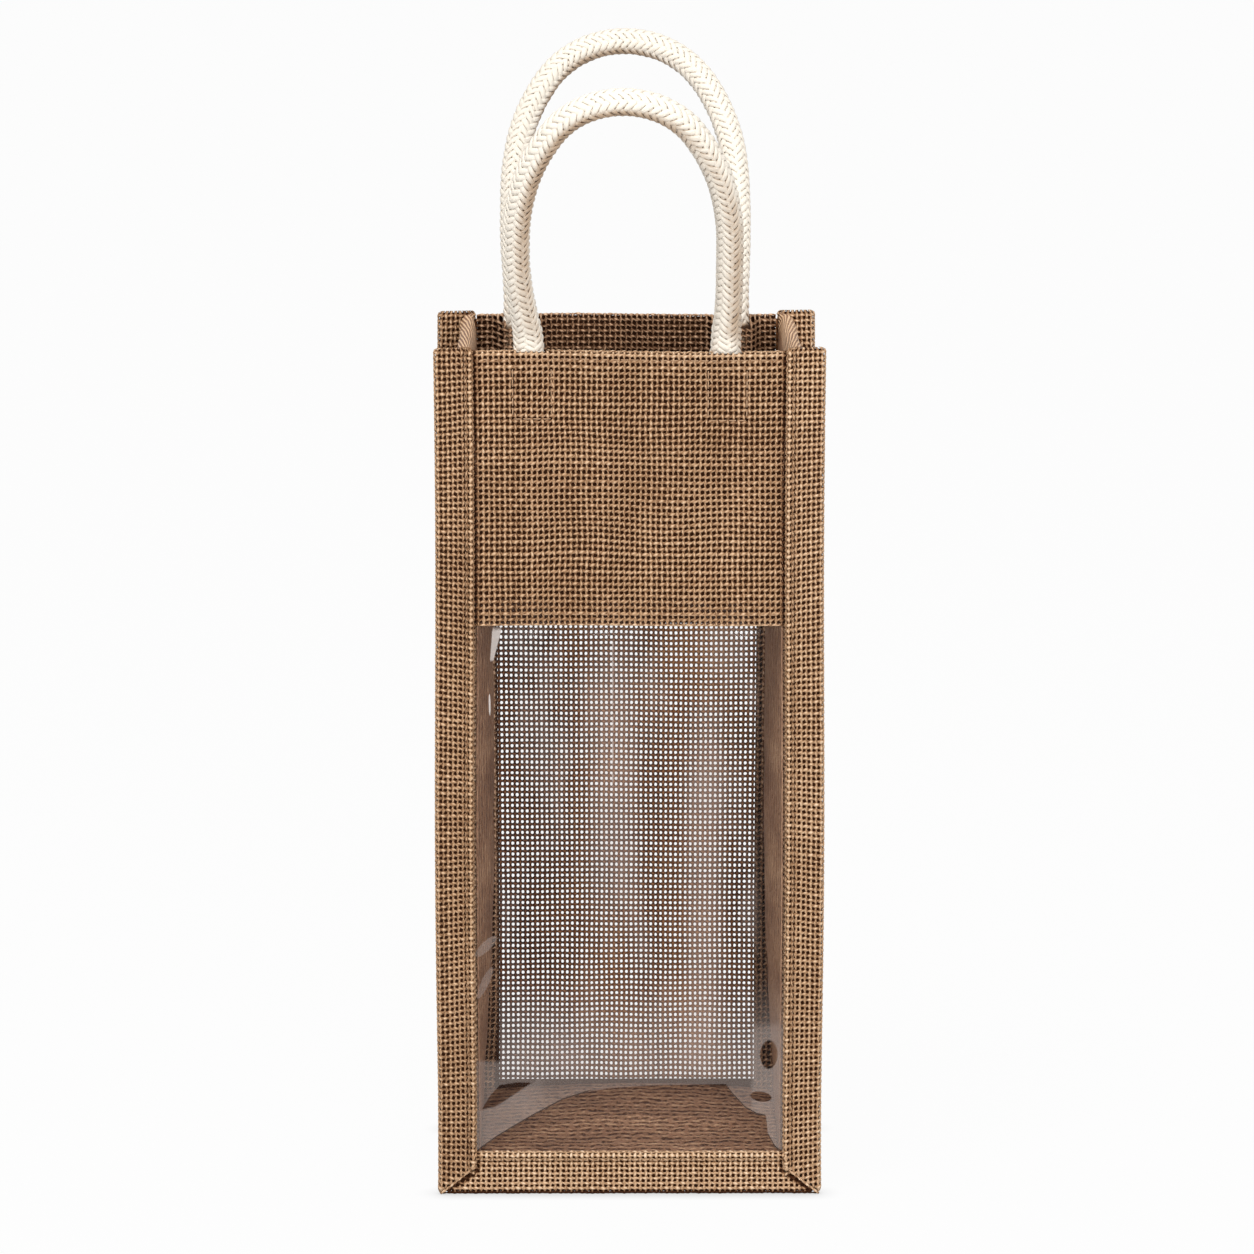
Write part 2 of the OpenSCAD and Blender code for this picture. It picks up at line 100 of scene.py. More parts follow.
class Value:
    """A number or colour that changes over a surface."""

    def __init__(self, tree, out):
        self.tree, self.out = tree, out

    def math(self, how, *inputs, clamp=False):
        node = self.tree.nodes.new("ShaderNodeMath")
        node.operation, node.use_clamp = how, clamp
        for socket, value in zip(node.inputs, inputs):
            plug(self.tree, socket, value)
        return Value(self.tree, node.outputs[0])

    def __add__(self, other):
        return self.math("ADD", self, other)

    def __sub__(self, other):
        return self.math("SUBTRACT", self, other)

    def __rsub__(self, other):
        return self.math("SUBTRACT", other, self)

    def __mul__(self, other):
        return self.math("MULTIPLY", self, other)

    def __truediv__(self, other):
        return self.math("DIVIDE", self, other)

    def size(self):
        return self.math("ABSOLUTE", self)

    def clip(self):
        return self.math("ADD", self, 0.0, clamp=True)

    def between(self, low, high):
        """0 below low, 1 above high, smooth in between."""
        node = self.tree.nodes.new("ShaderNodeMapRange")
        node.interpolation_type = "SMOOTHSTEP"
        for socket, value in zip(node.inputs, (self, low, high, 0.0, 1.0)):
            plug(self.tree, socket, value)
        return Value(self.tree, node.outputs[0])

    __radd__, __rmul__ = __add__, __mul__


def tint(red, green, blue):
    """A colour as a screen shows it, turned into the linear numbers that shaders use."""
    one = [c / 255 for c in (red, green, blue)]
    return [c / 12.92 if c <= 0.04045 else ((c + 0.055) / 1.055) ** 2.4 for c in one] + [1.0]


class Finish:
    """One material, built round the standard shader."""

    def __init__(self, name, **fixed):
        self.material = bpy.data.materials.new(name)
        self.material.use_nodes = True
        self.tree = self.material.node_tree
        self.shader = self.tree.nodes["Principled BSDF"]
        for socket, value in fixed.items():
            self.shader.inputs[socket.replace("_", " ")].default_value = value

    def node(self, kind, settings=None, sockets=None, out=0):
        node = self.tree.nodes.new("ShaderNode" + kind)
        for name, value in (settings or {}).items():
            if name == "stops":
                node.color_ramp.elements.remove(node.color_ramp.elements[1])
                node.color_ramp.elements[0].position, node.color_ramp.elements[0].color = value[0]
                for place, colour in value[1:]:
                    node.color_ramp.elements.new(place).color = colour
            else:
                setattr(node, name, value)
        for name, value in (sockets or {}).items():
            plug(self.tree, node.inputs[name], value)
        return Value(self.tree, node.outputs[out])

    def attribute(self, name, out=2):
        return self.node("Attribute", {"attribute_name": name}, out=out)

    def parts(self, vector, *which):
        return [self.node("SeparateXYZ", None, {"Vector": vector}, out=k) for k in which]

    def place(self):
        """Object coordinates."""
        return self.node("TexCoord", out=3)

    def stretched(self, coords, scale):
        return self.node("Mapping", None, {"Vector": coords, "Scale": scale})

    def noise(self, coords, scale, detail=2.0, rough=0.5):
        return self.node("TexNoise", None, {"Vector": coords, "Scale": scale, "Detail": detail,
                                            "Roughness": rough})

    def ramp(self, value, stops):
        return self.node("ValToRGB", {"stops": stops}, {"Fac": value})

    def shades(self, value, places, colours):
        return self.ramp(value, [(at, tint(*colour)) for at, colour in zip(places, colours)])

    def drawn(self, value, points, low=-65.0, high=65.0, top=100.0):
        """A curve through points of (value, height), as a ramp of greys."""
        stops = [((x - low) / (high - low), (y / top, y / top, y / top, 1.0)) for x, y in points]
        return self.ramp((value - low) * (1 / (high - low)), stops) * top

    def mix(self, share, one, two, how="MIX"):
        node = self.tree.nodes.new("ShaderNodeMix")
        node.data_type, node.blend_type = "RGBA", how
        for place, value in ((0, share), (6, one), (7, two)):
            plug(self.tree, node.inputs[place], value)
        return Value(self.tree, node.outputs[2])

    def bump(self, height, distance, strength=1.0):
        self.use(Normal=self.node("Bump", None, {"Height": height, "Distance": distance,
                                                 "Strength": strength}))

    def use(self, **sockets):
        for name, value in sockets.items():
            plug(self.tree, self.shader.inputs[name.replace("_", " ")], value)


print("shader words ready")

# %% [markdown]
# ## Jute threads, their finish
# Jute is a coarse fibre. The crown of each crossing gets a painted highlight, and its flanks and the
# gaps between the threads get painted shade. So the threads carry three attributes. Fibre holds
# coordinates that run along the thread and turn with its twist, and a noise stretched along them gives
# slanted streaks. Crown is the height in the cloth, from 0 in the middle to 1 on top of a crossing,
# and it drives that painted light. Tone makes one thread a little paler than the next. Each thread is
# twisted of two plies, whose ridges cross its top as short slanted painted highlights.

# %% Finish of the jute threads
def jute(name, *colours, blotch=0.25):
    """colours run from the painted shade of the deep gaps to the painted highlights of the crowns."""
    finish = Finish(name, Roughness=0.9, Specular_IOR_Level=0.2)
    fibre = finish.attribute("fibre", 1)
    crown, tone = finish.attribute("crown"), finish.attribute("tone")
    streak = finish.noise(finish.stretched(fibre, (0.55, 3.0, 3.0)), 1.0, 3.0, 0.65)
    patch = finish.noise(finish.stretched(finish.place(), (1.0, 1.0, 0.6)), 30.0, 2.0)
    a, b = finish.parts(fibre, 1, 2)
    ply = (a * a - b * b) / (a * a + b * b + 0.001)
    # crown paints highlights on the crossings' tops and shade in the gaps, ply short slanted highlights
    shade = crown * 0.42 + streak * 0.70 + ply * 0.15 + tone * 0.16 + patch * blotch
    shade = shade - (0.31 + blotch / 2)
    finish.use(Base_Color=finish.shades(shade, (0.0, 0.30, 0.60, 0.92), colours))
    finish.bump(streak, 0.0003, 0.8)
    return finish.material


panel_jute = jute("panel_jute", (68, 36, 14), (157, 118, 85), (212, 175, 139), (246, 219, 188))
strip_jute = jute("strip_jute", (70, 38, 16), (164, 125, 91), (218, 182, 146), (248, 223, 194))
side_jute = jute("side_jute", (68, 38, 17), (154, 118, 88), (208, 174, 142), (240, 216, 188))
# The hem jute is a darker copy of the same jute: painted shade for the hems inside the bag.
shaded_hem_jute = jute("shaded_hem_jute", (50, 24, 8), (122, 88, 62), (200, 162, 130), (242, 214, 184))
mesh_jute = jute("mesh_jute", (40, 18, 6), (94, 54, 30), (142, 96, 62), (180, 132, 92), blotch=0.8)
print("jute finishes: panel, strip, side, hem, mesh")

# %% [markdown]
# ## The other finishes
# The side walls and the floor are laminated: a thin clear skin fills the weave, so the cloth shows
# brown and dull, and its threads only as short wavy ridges. They are crosswise rows whose noise bends
# and breaks them. Where the skin goes over the top of a wall it is stretched into slanted lines.

# %% Finish of the laminated cloth and of the dark sheets of painted shade
ONE_BAND = 0.314  # the scale at which a wave texture draws one band for each unit
NO_LIP = 1000.0


def laminated(name, cell, along, lip_from=NO_LIP, paler=0.0, depth=1.0):
    """cell is a ridge's size in millimetres, along the axis that the ridges are stacked on, lip_from
    the height where the slanted lines start, and depth the ridges' contrast."""
    finish = Finish(name, Specular_IOR_Level=0.3)
    spot = finish.node("UVMap", {"uv_map": "cloth"})
    height, = finish.parts(spot, 1)
    on_lip = height.between(lip_from, lip_from + 4.0)
    cells = finish.stretched(spot, (1 / cell[0], 1 / cell[1], 1.0))
    rows = finish.node("TexWave", {"bands_direction": along}, {
        "Vector": cells, "Scale": ONE_BAND, "Distortion": 5.0, "Detail": 2.0, "Detail Scale": 1.3,
        "Detail Roughness": 0.6})
    breaks = finish.noise(cells, 1.2, 2.0, 0.6)
    slants = finish.node("TexWave", {"bands_direction": "DIAGONAL"}, {
        "Vector": finish.stretched(spot, (-0.15, 1.3, 0.0)), "Scale": ONE_BAND, "Distortion": 2.5,
        "Detail": 2.0, "Detail Scale": 0.5})
    cloud = finish.noise(finish.stretched(spot, (0.018, 0.05, 1.0)), 1.0, 3.0, 0.6)
    squiggle = rows.between(0.30, 0.75) * breaks.between(0.40, 0.58)
    glint = (1 - rows).between(0.68, 0.95) * breaks.between(0.42, 0.60)
    shade = cloud * 0.7 + breaks * 0.25 + paler - (squiggle * 0.45 - glint * 0.22) * (1 - on_lip) * depth
    shade = shade + (slants - 0.22) * on_lip
    colour = finish.shades(shade, (0.0, 0.45, 0.80, 1.0), (
        (70, 40, 24), (156, 117, 91), (208, 170, 136), (244, 214, 184)))
    finish.use(Base_Color=finish.mix(on_lip, colour, tint(255, 243, 226), "MULTIPLY"),
               Roughness=0.5 + cloud * 0.2)
    finish.bump(slants * on_lip + squiggle * (on_lip - 1), 0.0006, 0.8)
    return finish.material


linings = {"left": laminated("lining_left", (5.2, 3.6), "X", 351.0, 0.0, 0.6),
           "right": laminated("lining_right", (4.4, 3.0), "X", 351.0, 0.07, 0.5)}
floor_lining = laminated("floor_lining", (2.8, 5.4), "Y", paler=-0.03)


# A dark sheet inside the jute paints the shade that falls in the doubled cloth behind the holes.
def shade_sheet_finish():
    finish = Finish("shade_sheet_finish", Roughness=0.9, Specular_IOR_Level=0.1)
    grain = finish.noise(finish.place(), 600.0, 2.0)
    finish.use(Base_Color=finish.mix(grain, tint(34, 14, 4), tint(66, 36, 16)))
    finish.bump(grain, 0.0002)
    return finish.material


painted_shade_sheet = shade_sheet_finish()
print("laminated finishes: lining, floor, dark coat")

# %% Finish of cotton and sewing thread
def cotton(name, *colours):
    finish = Finish(name, Roughness=0.88, Specular_IOR_Level=0.2, Sheen_Weight=0.15)
    streak = finish.noise(finish.stretched(finish.attribute("fibre", 1), (0.5, 4.5, 4.5)), 1.0, 2.0, 0.6)
    crown, tone = finish.attribute("crown"), finish.attribute("tone")
    speck = finish.noise(finish.place(), 900.0, 2.0, 0.6).between(0.60, 0.74)
    # crown carries painted light: pale where a strand is lit, dark in its grooves and on its shaded side.
    shade = crown * 0.9 + streak * 0.5 + tone * 0.2 - speck * 0.15 - 0.42
    finish.use(Base_Color=finish.shades(shade, (0.0, 0.35, 0.8), colours))
    finish.bump(streak, 0.0002, 0.6)
    return finish.material


rope_cotton = cotton("rope_cotton", (84, 56, 34), (194, 168, 141), (245, 236, 222))
core_cotton = cotton("core_cotton", (84, 62, 40), (128, 104, 76), (150, 126, 98))
sewing = cotton("sewing", (90, 58, 34), (146, 110, 80), (188, 152, 120))
print("cotton finishes: rope, core, sewing")

# %% [markdown]
# ## Laying threads
# A thread starts as a short ring that is swept straight along X, one unit for each step, and closed at
# both ends. Hundreds of such straight threads are gathered in one mesh. Then numpy moves all their
# points at once: to their lane, over and under the threads they cross, and onto the bag's shape.

# %% Words for lines and meshes
def smooth(x, low, high):
    v = np.clip((x - low) / (high - low), 0, 1)
    return v * v * (3 - 2 * v)


def hill(x, half):
    """1 at 0, falling off over about half on both sides."""
    return np.exp(-(x / half) ** 2)


def running(steps):
    return np.concatenate([[0], np.cumsum(steps)])


def gaps(line):
    return np.linalg.norm(np.diff(line, axis=0), axis=1)


def mesh_of(bm, name):
    mesh = bpy.data.meshes.new(name)
    bm.to_mesh(mesh)
    bm.free()
    return mesh


def points(mesh):
    co = np.empty(len(mesh.vertices) * 3)
    mesh.vertices.foreach_get("co", co)
    return co.reshape(-1, 3)


def whole(items, key):
    """One whole number of each item, such as the vertex at each corner of a face."""
    out = np.empty(len(items), int)
    items.foreach_get(key, out)
    return out


def move(mesh, xyz):
    """Puts the vertices at x, y, z in millimetres."""
    mesh.vertices.foreach_set("co", (np.stack(xyz, 1) * MM).ravel())


def add_map(mesh, name, u, v):
    layer = mesh.uv_layers.new(name=name)
    layer.data.foreach_set("uv", np.stack([u, v], 1).astype(np.float32).ravel())


print("a hill's height at its half:", round(float(hill(1, 1)), 2))

# %% A straight thread
straight = {}


def straight_thread(steps, sides):
    if (steps, sides) not in straight:
        bm = bmesh.new()
        bmesh.ops.create_circle(bm, cap_ends=True, radius=1, segments=sides)
        bmesh.ops.rotate(bm, verts=bm.verts, cent=(0, 0, 0),
                         matrix=Matrix.Rotation(math.radians(90), 3, "Y"))
        sweep = bmesh.ops.spin(bm, geom=list(bm.edges), cent=(0, 0, 0), axis=(1, 0, 0),
                               dvec=(1, 0, 0), angle=0, steps=steps, use_merge=False)
        last = [e for e in sweep["geom_last"] if isinstance(e, bmesh.types.BMEdge)]
        bmesh.ops.edgeloop_fill(bm, edges=last)
        straight[steps, sides] = mesh_of(bm, "straight")
    return straight[steps, sides]


print("a thread of 4 steps has", len(straight_thread(4, 6).polygons), "faces")

# %% Many threads in one mesh
class Threads:
    """Gathers straight threads, each with its own numbers, and lays them all in one mesh."""

    def __init__(self, sides, seed):
        self.sides, self.rng, self.bm, self.rows = sides, np.random.default_rng(seed), bmesh.new(), []

    def add(self, steps, *numbers):
        self.bm.from_mesh(straight_thread(steps, self.sides))
        self.rows.append((steps, *numbers))

    def gather(self):
        """Every point's share along its thread, its ring angle and its thread's numbers."""
        self.mesh = mesh_of(self.bm, "threads")
        co = points(self.mesh)
        rows = np.array(self.rows, float)
        count = (rows[:, 0].astype(int) + 1) * self.sides
        self.thread = np.repeat(np.arange(len(rows)), count)
        self.step = np.rint(co[:, 0])
        self.corner = np.rint(np.arctan2(co[:, 2], co[:, 1]) / (2 * np.pi) * self.sides) % self.sides
        columns = rows[self.thread].T
        self.share = self.step / columns[0]
        return self.share, co[:, 1], co[:, 2], columns[1:]

    def chance(self, count):
        """Random phases of each thread, for every point."""
        return self.rng.uniform(0, 2 * np.pi, (len(self.rows), count))[self.thread]

    def normal(self):
        return np.clip(self.rng.normal(size=len(self.rows)), -2, 2)[self.thread]

    def finish(self, name, xyz, fibre, tone, crown, length):
        mesh = self.mesh
        move(mesh, xyz)
        self.bake_map(length)
        for label, kind, key, data in (("fibre", "FLOAT_VECTOR", "vector", np.stack(fibre, 1)),
                                       ("tone", "FLOAT", "value", tone),
                                       ("crown", "FLOAT", "value", crown)):
            mesh.attributes.new(label, kind, "POINT").data.foreach_set(
                key, np.asarray(data, np.float32).ravel())
        bm = bmesh.new()
        bm.from_mesh(mesh)
        bmesh.ops.recalc_face_normals(bm, faces=bm.faces)
        bm.to_mesh(mesh)
        bm.free()
        mesh.shade_smooth()
        return add_piece(name, mesh)

    def bake_map(self, length):
        """Each thread gets a strip of its own in a map named OFBake."""
        loops, start = whole(self.mesh.loops, "vertex_index"), whole(self.mesh.polygons, "loop_start")
        face = np.repeat(np.arange(len(start)), np.diff(np.append(start, len(loops))))
        corner = self.corner[loops]
        low, high = np.full(len(start), np.inf), np.full(len(start), -np.inf)
        np.minimum.at(low, face, corner)
        np.maximum.at(high, face, corner)
        wraps = (low == 0) & (high == self.sides - 1)
        corner = np.where(wraps[face] & (corner == 0), self.sides, corner)
        columns = max(1, round(math.sqrt(4 * len(self.rows) / length)))
        lines = math.ceil(len(self.rows) / columns)
        thread = self.thread[loops]
        u = (thread % columns + 0.01 + 0.98 * self.share[loops]) / columns
        v = (thread // columns + 0.06 + 0.88 * corner / self.sides) / lines
        add_map(self.mesh, "OFBake", u, v)


def add_piece(name, mesh):
    mesh.name = name
    piece = bpy.data.objects.new(name, mesh)
    bpy.context.scene.collection.objects.link(piece)
    return piece


made = []


def dress(piece, material, body="bag", replaces=()):
    """Gives a piece its finish and says what it rides on and stands for."""
    piece.data.materials.clear()
    piece.data.materials.append(material)
    if body:
        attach(piece, body)
    if replaces:
        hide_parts(*replaces)
    faces = sum(len(p.vertices) - 2 for p in piece.data.polygons)
    made.append((piece.name, faces))
    print(f"{piece.name}: {faces} triangles")
    return piece


# %% [markdown]
# ## Plain weave
# In a plain weave each thread rises over one crossing and dives under the next. Along a warp thread
# that is a cosine whose sign changes with the thread's number, and a weft thread has the opposite one,
# so both meet snugly at every crossing. Hand-spun jute is uneven: it swells, thins out and wanders.

# %% Plain weave
PANEL_CLOTH = {"across": 2.25, "up": 2.52, "warp_w": 0.60, "weft_w": 0.76, "half_t": 0.42, "swing": 0.36,
               "pinch": 0.24}
STRIP_CLOTH = {**PANEL_CLOTH, "across": 2.03, "up": 2.41, "warp_w": 0.60, "weft_w": 0.70}
FOOT_CLOTH = {**PANEL_CLOTH, "across": 2.24, "up": 2.16, "warp_w": 0.66, "weft_w": 0.66}
HEM_CLOTH = {**PANEL_CLOTH, "across": 2.29, "up": 2.42, "warp_w": 0.58, "weft_w": 0.72}
MESH_CLOTH = {"across": 2.15, "up": 2.40, "warp_w": 0.68, "weft_w": 0.72, "half_t": 0.36, "swing": 0.28,
              "pinch": 0.26}
TWIST = 1.3  # radians for each millimetre


def uneven(where, phases, *lengths):
    """Smooth unevenness from about -1 to 1 along a thread."""
    return sum(np.sin(2 * np.pi * where / length + phases[:, k])
               for k, length in enumerate(lengths)) / len(lengths) ** 0.7


def weave(name, cloth, warp, weft, place, finish, slot, seed, replaces=(), sides=6, rough=1.0,
          paler=None):
    """warp and weft list threads as (number, start, end). place turns across, up and height into
    x, y, z, and paler gives what is added to the tone at across and up, for most pieces painted
    light and shade."""
    threads = Threads(sides, seed)
    for is_up, runs in ((1, warp), (0, weft)):
        half = cloth["up" if is_up else "across"] / 2
        for number, start, end in runs:
            low, high = round(start / half), round(end / half)
            if high - low >= 2:
                threads.add(high - low, is_up, number, low * half, high * half)
    share, side, out, (is_up, number, start, end) = threads.gather()
    up = is_up > 0.5

    def each(of_warp, of_weft):
        return np.where(up, of_warp, of_weft)

    where = start + share * (end - start)
    phase = threads.chance(6)
    thick = 1 + rough * (0.06 * threads.normal() + 0.12 * uneven(where, phase, 31.0, 11.3, 5.2))
    drift = rough * 0.13 * uneven(where, phase[:, 3:], 47.0, 17.0, 8.0)
    lane = number * each(cloth["across"], cloth["up"]) + drift
    pitch = each(cloth["up"], cloth["across"])
    wave = each(1, -1) * cloth["swing"] * np.cos(np.pi * (where / pitch + number))
    wide = each(cloth["warp_w"], cloth["weft_w"]) * thick
    wide = wide * (1 + cloth["pinch"] * np.cos(2 * np.pi * where / pitch))
    height = wave + cloth["half_t"] * thick * out
    lane = lane + wide * side
    x, y = each(lane, where), each(where, lane)
    turn = each(-TWIST, TWIST) * where
    fibre = (where + number * 37.7 + is_up * 911.0,
             wide * (side * np.cos(turn) - out * np.sin(turn)),
             wide * (side * np.sin(turn) + out * np.cos(turn)))
    tone = 0.5 + 0.22 * threads.normal() + 0.12 * uneven(where, phase, 63.0, 23.0)
    if paler:
        tone = tone + paler(x, y)
    crown = np.abs(height) / (cloth["swing"] + cloth["half_t"])
    piece = threads.finish(name, place(x, y, height), fibre, tone, crown, float(np.max(end - start)))
    dress(piece, finish, replaces=replaces)


print("plain weave ready")

# %% [markdown]
# ## Folds
# A strip or a hem is flat cloth led along a bent line. The line is drawn with a few corners, which are
# cut off again and again until they are round. Cloth laid along it keeps its own height outwards.

# %% A rounded line
def rounded(points, cuts=3):
    p = np.array(points, float)
    for _ in range(cuts):
        q = np.empty((2 * len(p) - 2, 2))
        q[0::2], q[1::2] = p[:-1] * 0.75 + p[1:] * 0.25, p[:-1] * 0.25 + p[1:] * 0.75
        p = np.vstack([p[:1], q, p[-1:]])
    s = running(np.hypot(*np.diff(p, axis=0).T))
    t = np.gradient(p, s, axis=0)
    t /= np.hypot(t[:, 0], t[:, 1])[:, None]

    def along(x):
        """Place and outward direction, which is to the right of the line's run."""
        return [np.interp(x, s, c) for c in (p[:, 0], p[:, 1], t[:, 1], -t[:, 0])]

    along.length, along.s, along.p = s[-1], s, p
    return along


# %% The bag's slight unevenness
def settle(x, y, z):
    """Sewn cloth is never quite straight: its edges wave by about half a millimetre, least at the foot,
    and the back's rim stands a little higher and further left than the front's."""
    free = np.clip(z / 45, 0, 1) * np.clip((400 - z) / 30, 0, 1)
    x2 = x + free * (x / HALF_W) * 0.45 * np.sin(z / 47 + 2.1 * y / HALF_D + 0.6)
    y2 = y + free * (y / HALF_D) * 0.55 * np.sin(z / 58 + 2.6 * x / HALF_W + 0.4)
    z2 = z + free * (z / RIM) * 0.35 * np.sin(x / 21 + y / 17)
    rear = smooth(y, 36, 50) * smooth(z, 230, 350)
    return x2 - 1.0 * rear, y2, z2 + 0.8 * rear


def cad_bow(y, z):
    """How far a side wall bows inwards."""
    v = np.clip((z - FLOOR - 3) / (RIM - FLOOR - 3), 0, 1)
    inside = np.cos(np.pi / 2 * np.clip(np.abs(y) / 46, 0, 1))
    fade = (BOW - TOP_BOW) * np.clip(2 * v - 1, 0, 1) ** 2
    return inside * (BOW * np.sin(np.pi / 2 * np.minimum(1, v / 0.35)) - fade)


print("folds ready")

# %% [markdown]
# ## Smooth sheets
# Film, linings and the floor are single sheets, and so is the dark sheet on the inside of the jute
# that closes its holes with painted shade. Each starts as a grid of squares whose corners are moved onto
# the bag's shape. A map called cloth keeps the flat position in millimetres for patterns.

# %% A sheet from a grid
def grid_mesh(name, steps, size):
    bm = bmesh.new()
    bmesh.ops.create_grid(bm, x_segments=steps[0], y_segments=steps[1], size=size)
    return mesh_of(bm, name)


def sheet(name, across, up, steps, place, node, rests_on, slot="jute_strip", finish=painted_shade_sheet,
          thick=0.15, flat=None, held="stretched"):
    """across and up are (from, to) in millimetres and steps the number of squares each way. flat, the
    size of the sheet as it was cut unless it is the grid's own, is not used."""
    mesh = grid_mesh(name, steps, 1.0)
    co = points(mesh)
    wide, tall = across[1] - across[0], up[1] - up[0]
    s = across[0] + (co[:, 0] + 1) / 2 * wide
    t = up[0] + (co[:, 1] + 1) / 2 * tall
    move(mesh, place(s, t))
    loops = whole(mesh.loops, "vertex_index")
    add_map(mesh, "cloth", s[loops], t[loops])
    mesh.update()
    mesh.shade_smooth()
    piece = add_piece(name, mesh)
    wall = piece.modifiers.new("thickness", "SOLIDIFY")
    wall.thickness, wall.offset, wall.use_even_offset = thick * MM, 0.0, False
    dress(piece, finish, replaces=[node])
    wide, tall = flat or (wide, tall)
    wide * MM
    tall * MM


def waves(a, b, seed, *lengths):
    """A gentle random surface of waves with about the given lengths."""
    rng = np.random.default_rng(seed)
    total = np.zeros_like(a)
    for length in lengths:
        for _ in range(3):
            turn, phase = rng.uniform(0, np.pi), rng.uniform(0, 2 * np.pi)
            total += np.sin(2 * np.pi * (a * np.cos(turn) + b * np.sin(turn)) / length + phase)
    return total / (3 * len(lengths)) ** 0.7


print("sheets ready")

# %% [markdown]
# ## The folded strips
# Each seam is wrapped in a strip of jute that is folded over it. From the inner edge it starts as a
# raised lip, dips into the groove where the seam is sewn, runs flat to the outer fold and comes back
# on the other side. At the foot the side strip is folded on a slant and lies on top of the bottom one.

# %% A side strip
SIDE_LINE = rounded([(68.9, -50.7), (66.6, -50.8), (65.5, -51.0), (65.0, -51.8), (65.2, -52.8),
                     (66.0, -53.1), (66.9, -52.8), (67.6, -51.8), (68.2, -51.1), (68.9, -51.5),
                     (70.2, -51.75), (74.0, -51.8), (77.6, -51.75), (79.6, -51.4), (80.4, -50.7),
                     (80.55, -50.0), (80.4, -49.2), (79.6, -48.55), (77.4, -48.3), (72.0, -48.35),
                     (66.6, -48.4)])
CORNER, MITRE = 79.5, 12.2  # where the slanted fold meets the floor, and how high it reaches
FOLD = MITRE / 15.0
MIDDLE, ROUND = 72.5, 1.7  # the strip's middle and the radius of its rounded top
SLANT = np.array([FOLD, 1.0]) / math.hypot(FOLD, 1.0)


def slant_gap(x, z):
    """Distance from the slanted seam at the foot, positive on the side strip."""
    return (np.abs(x) - CORNER) * SLANT[0] + z * SLANT[1]


def round_corner(x, z, radius=2.0):
    """Rounds the outer bottom corner of the bag."""
    dx, dz = np.maximum(0, x - (HALF_W - radius)), np.maximum(0, radius - z)
    far = np.maximum(1, np.hypot(dx, dz) / radius)
    return x + dx * (1 / far - 1), z + dz * (1 - 1 / far)


def side_strip(across, up, height, skew):
    x, y, nx, ny = SIDE_LINE(across)
    gap = slant_gap(x, up)
    up = up + 0.13 * (MIDDLE - x) * np.sin(up / 43 + skew) * np.clip((STRIP_TOP - 6 - up) / 20, 0, 1)
    height = height + np.clip(-ny, 0, 1) * (0.8 * hill(gap - 1.4, 2.4) - 1.5 * np.clip(1 - gap, 0, 1))
    x, y = x + nx * height, y + ny * height
    corner = np.clip(up - (STRIP_TOP - 2), 0, 2)
    x = x + (MIDDLE - x) * (2 - np.sqrt(4 - corner ** 2)) / 8.5 * 0.7
    turn = np.clip((up - (STRIP_TOP - ROUND)) / ROUND, 0, np.pi / 2)
    y = -50 + (y + 50) * np.cos(turn)
    z = np.minimum(up, STRIP_TOP - ROUND) + ROUND * np.sin(turn)
    x, z = round_corner(x, z)
    return x, y, z


def side_runs():
    """Upright and crosswise threads of a side strip, cut off at the slant."""
    cloth, length = STRIP_CLOTH, SIDE_LINE.length
    upright, crosswise = [], []
    for n in range(0, int(length / cloth["across"]) + 1):
        x = SIDE_LINE(n * cloth["across"])[0]
        upright.append((n, max(0.4, (CORNER - x) * FOLD + 0.5), STRIP_TOP + 0.9))
    for n in range(1, int(STRIP_TOP / cloth["up"]) + 1):
        inner = CORNER - n * cloth["up"] / FOLD
        keep = SIDE_LINE.s[(SIDE_LINE.p[:, 0] >= inner + 0.3)]
        if len(keep):
            crosswise.append((n, max(0, keep.min()), min(length, keep.max())))
    return upright, crosswise


def side_light_and_shade(across, up):
    """Painted highlights on the raised lip and the slanted edge, a paler outer fold and painted shade
    in the sewn groove.
    """
    x, y, _, _ = SIDE_LINE(across)
    edge_tone = 0.3 * hill(x - 66.0, 1.2) * (y < -51.4) + 0.9 * smooth(x, 79.0, 80.5)
    return edge_tone + 0.8 * hill(slant_gap(x, up) - 1, 1.2) - 1.2 * hill(x - 68.3, 0.8) + 0.35


# The left strips get painted shade all over, so they are darker than the right ones.
def side_light_and_shade_left(across, up):
    return side_light_and_shade(across, up) - 0.35


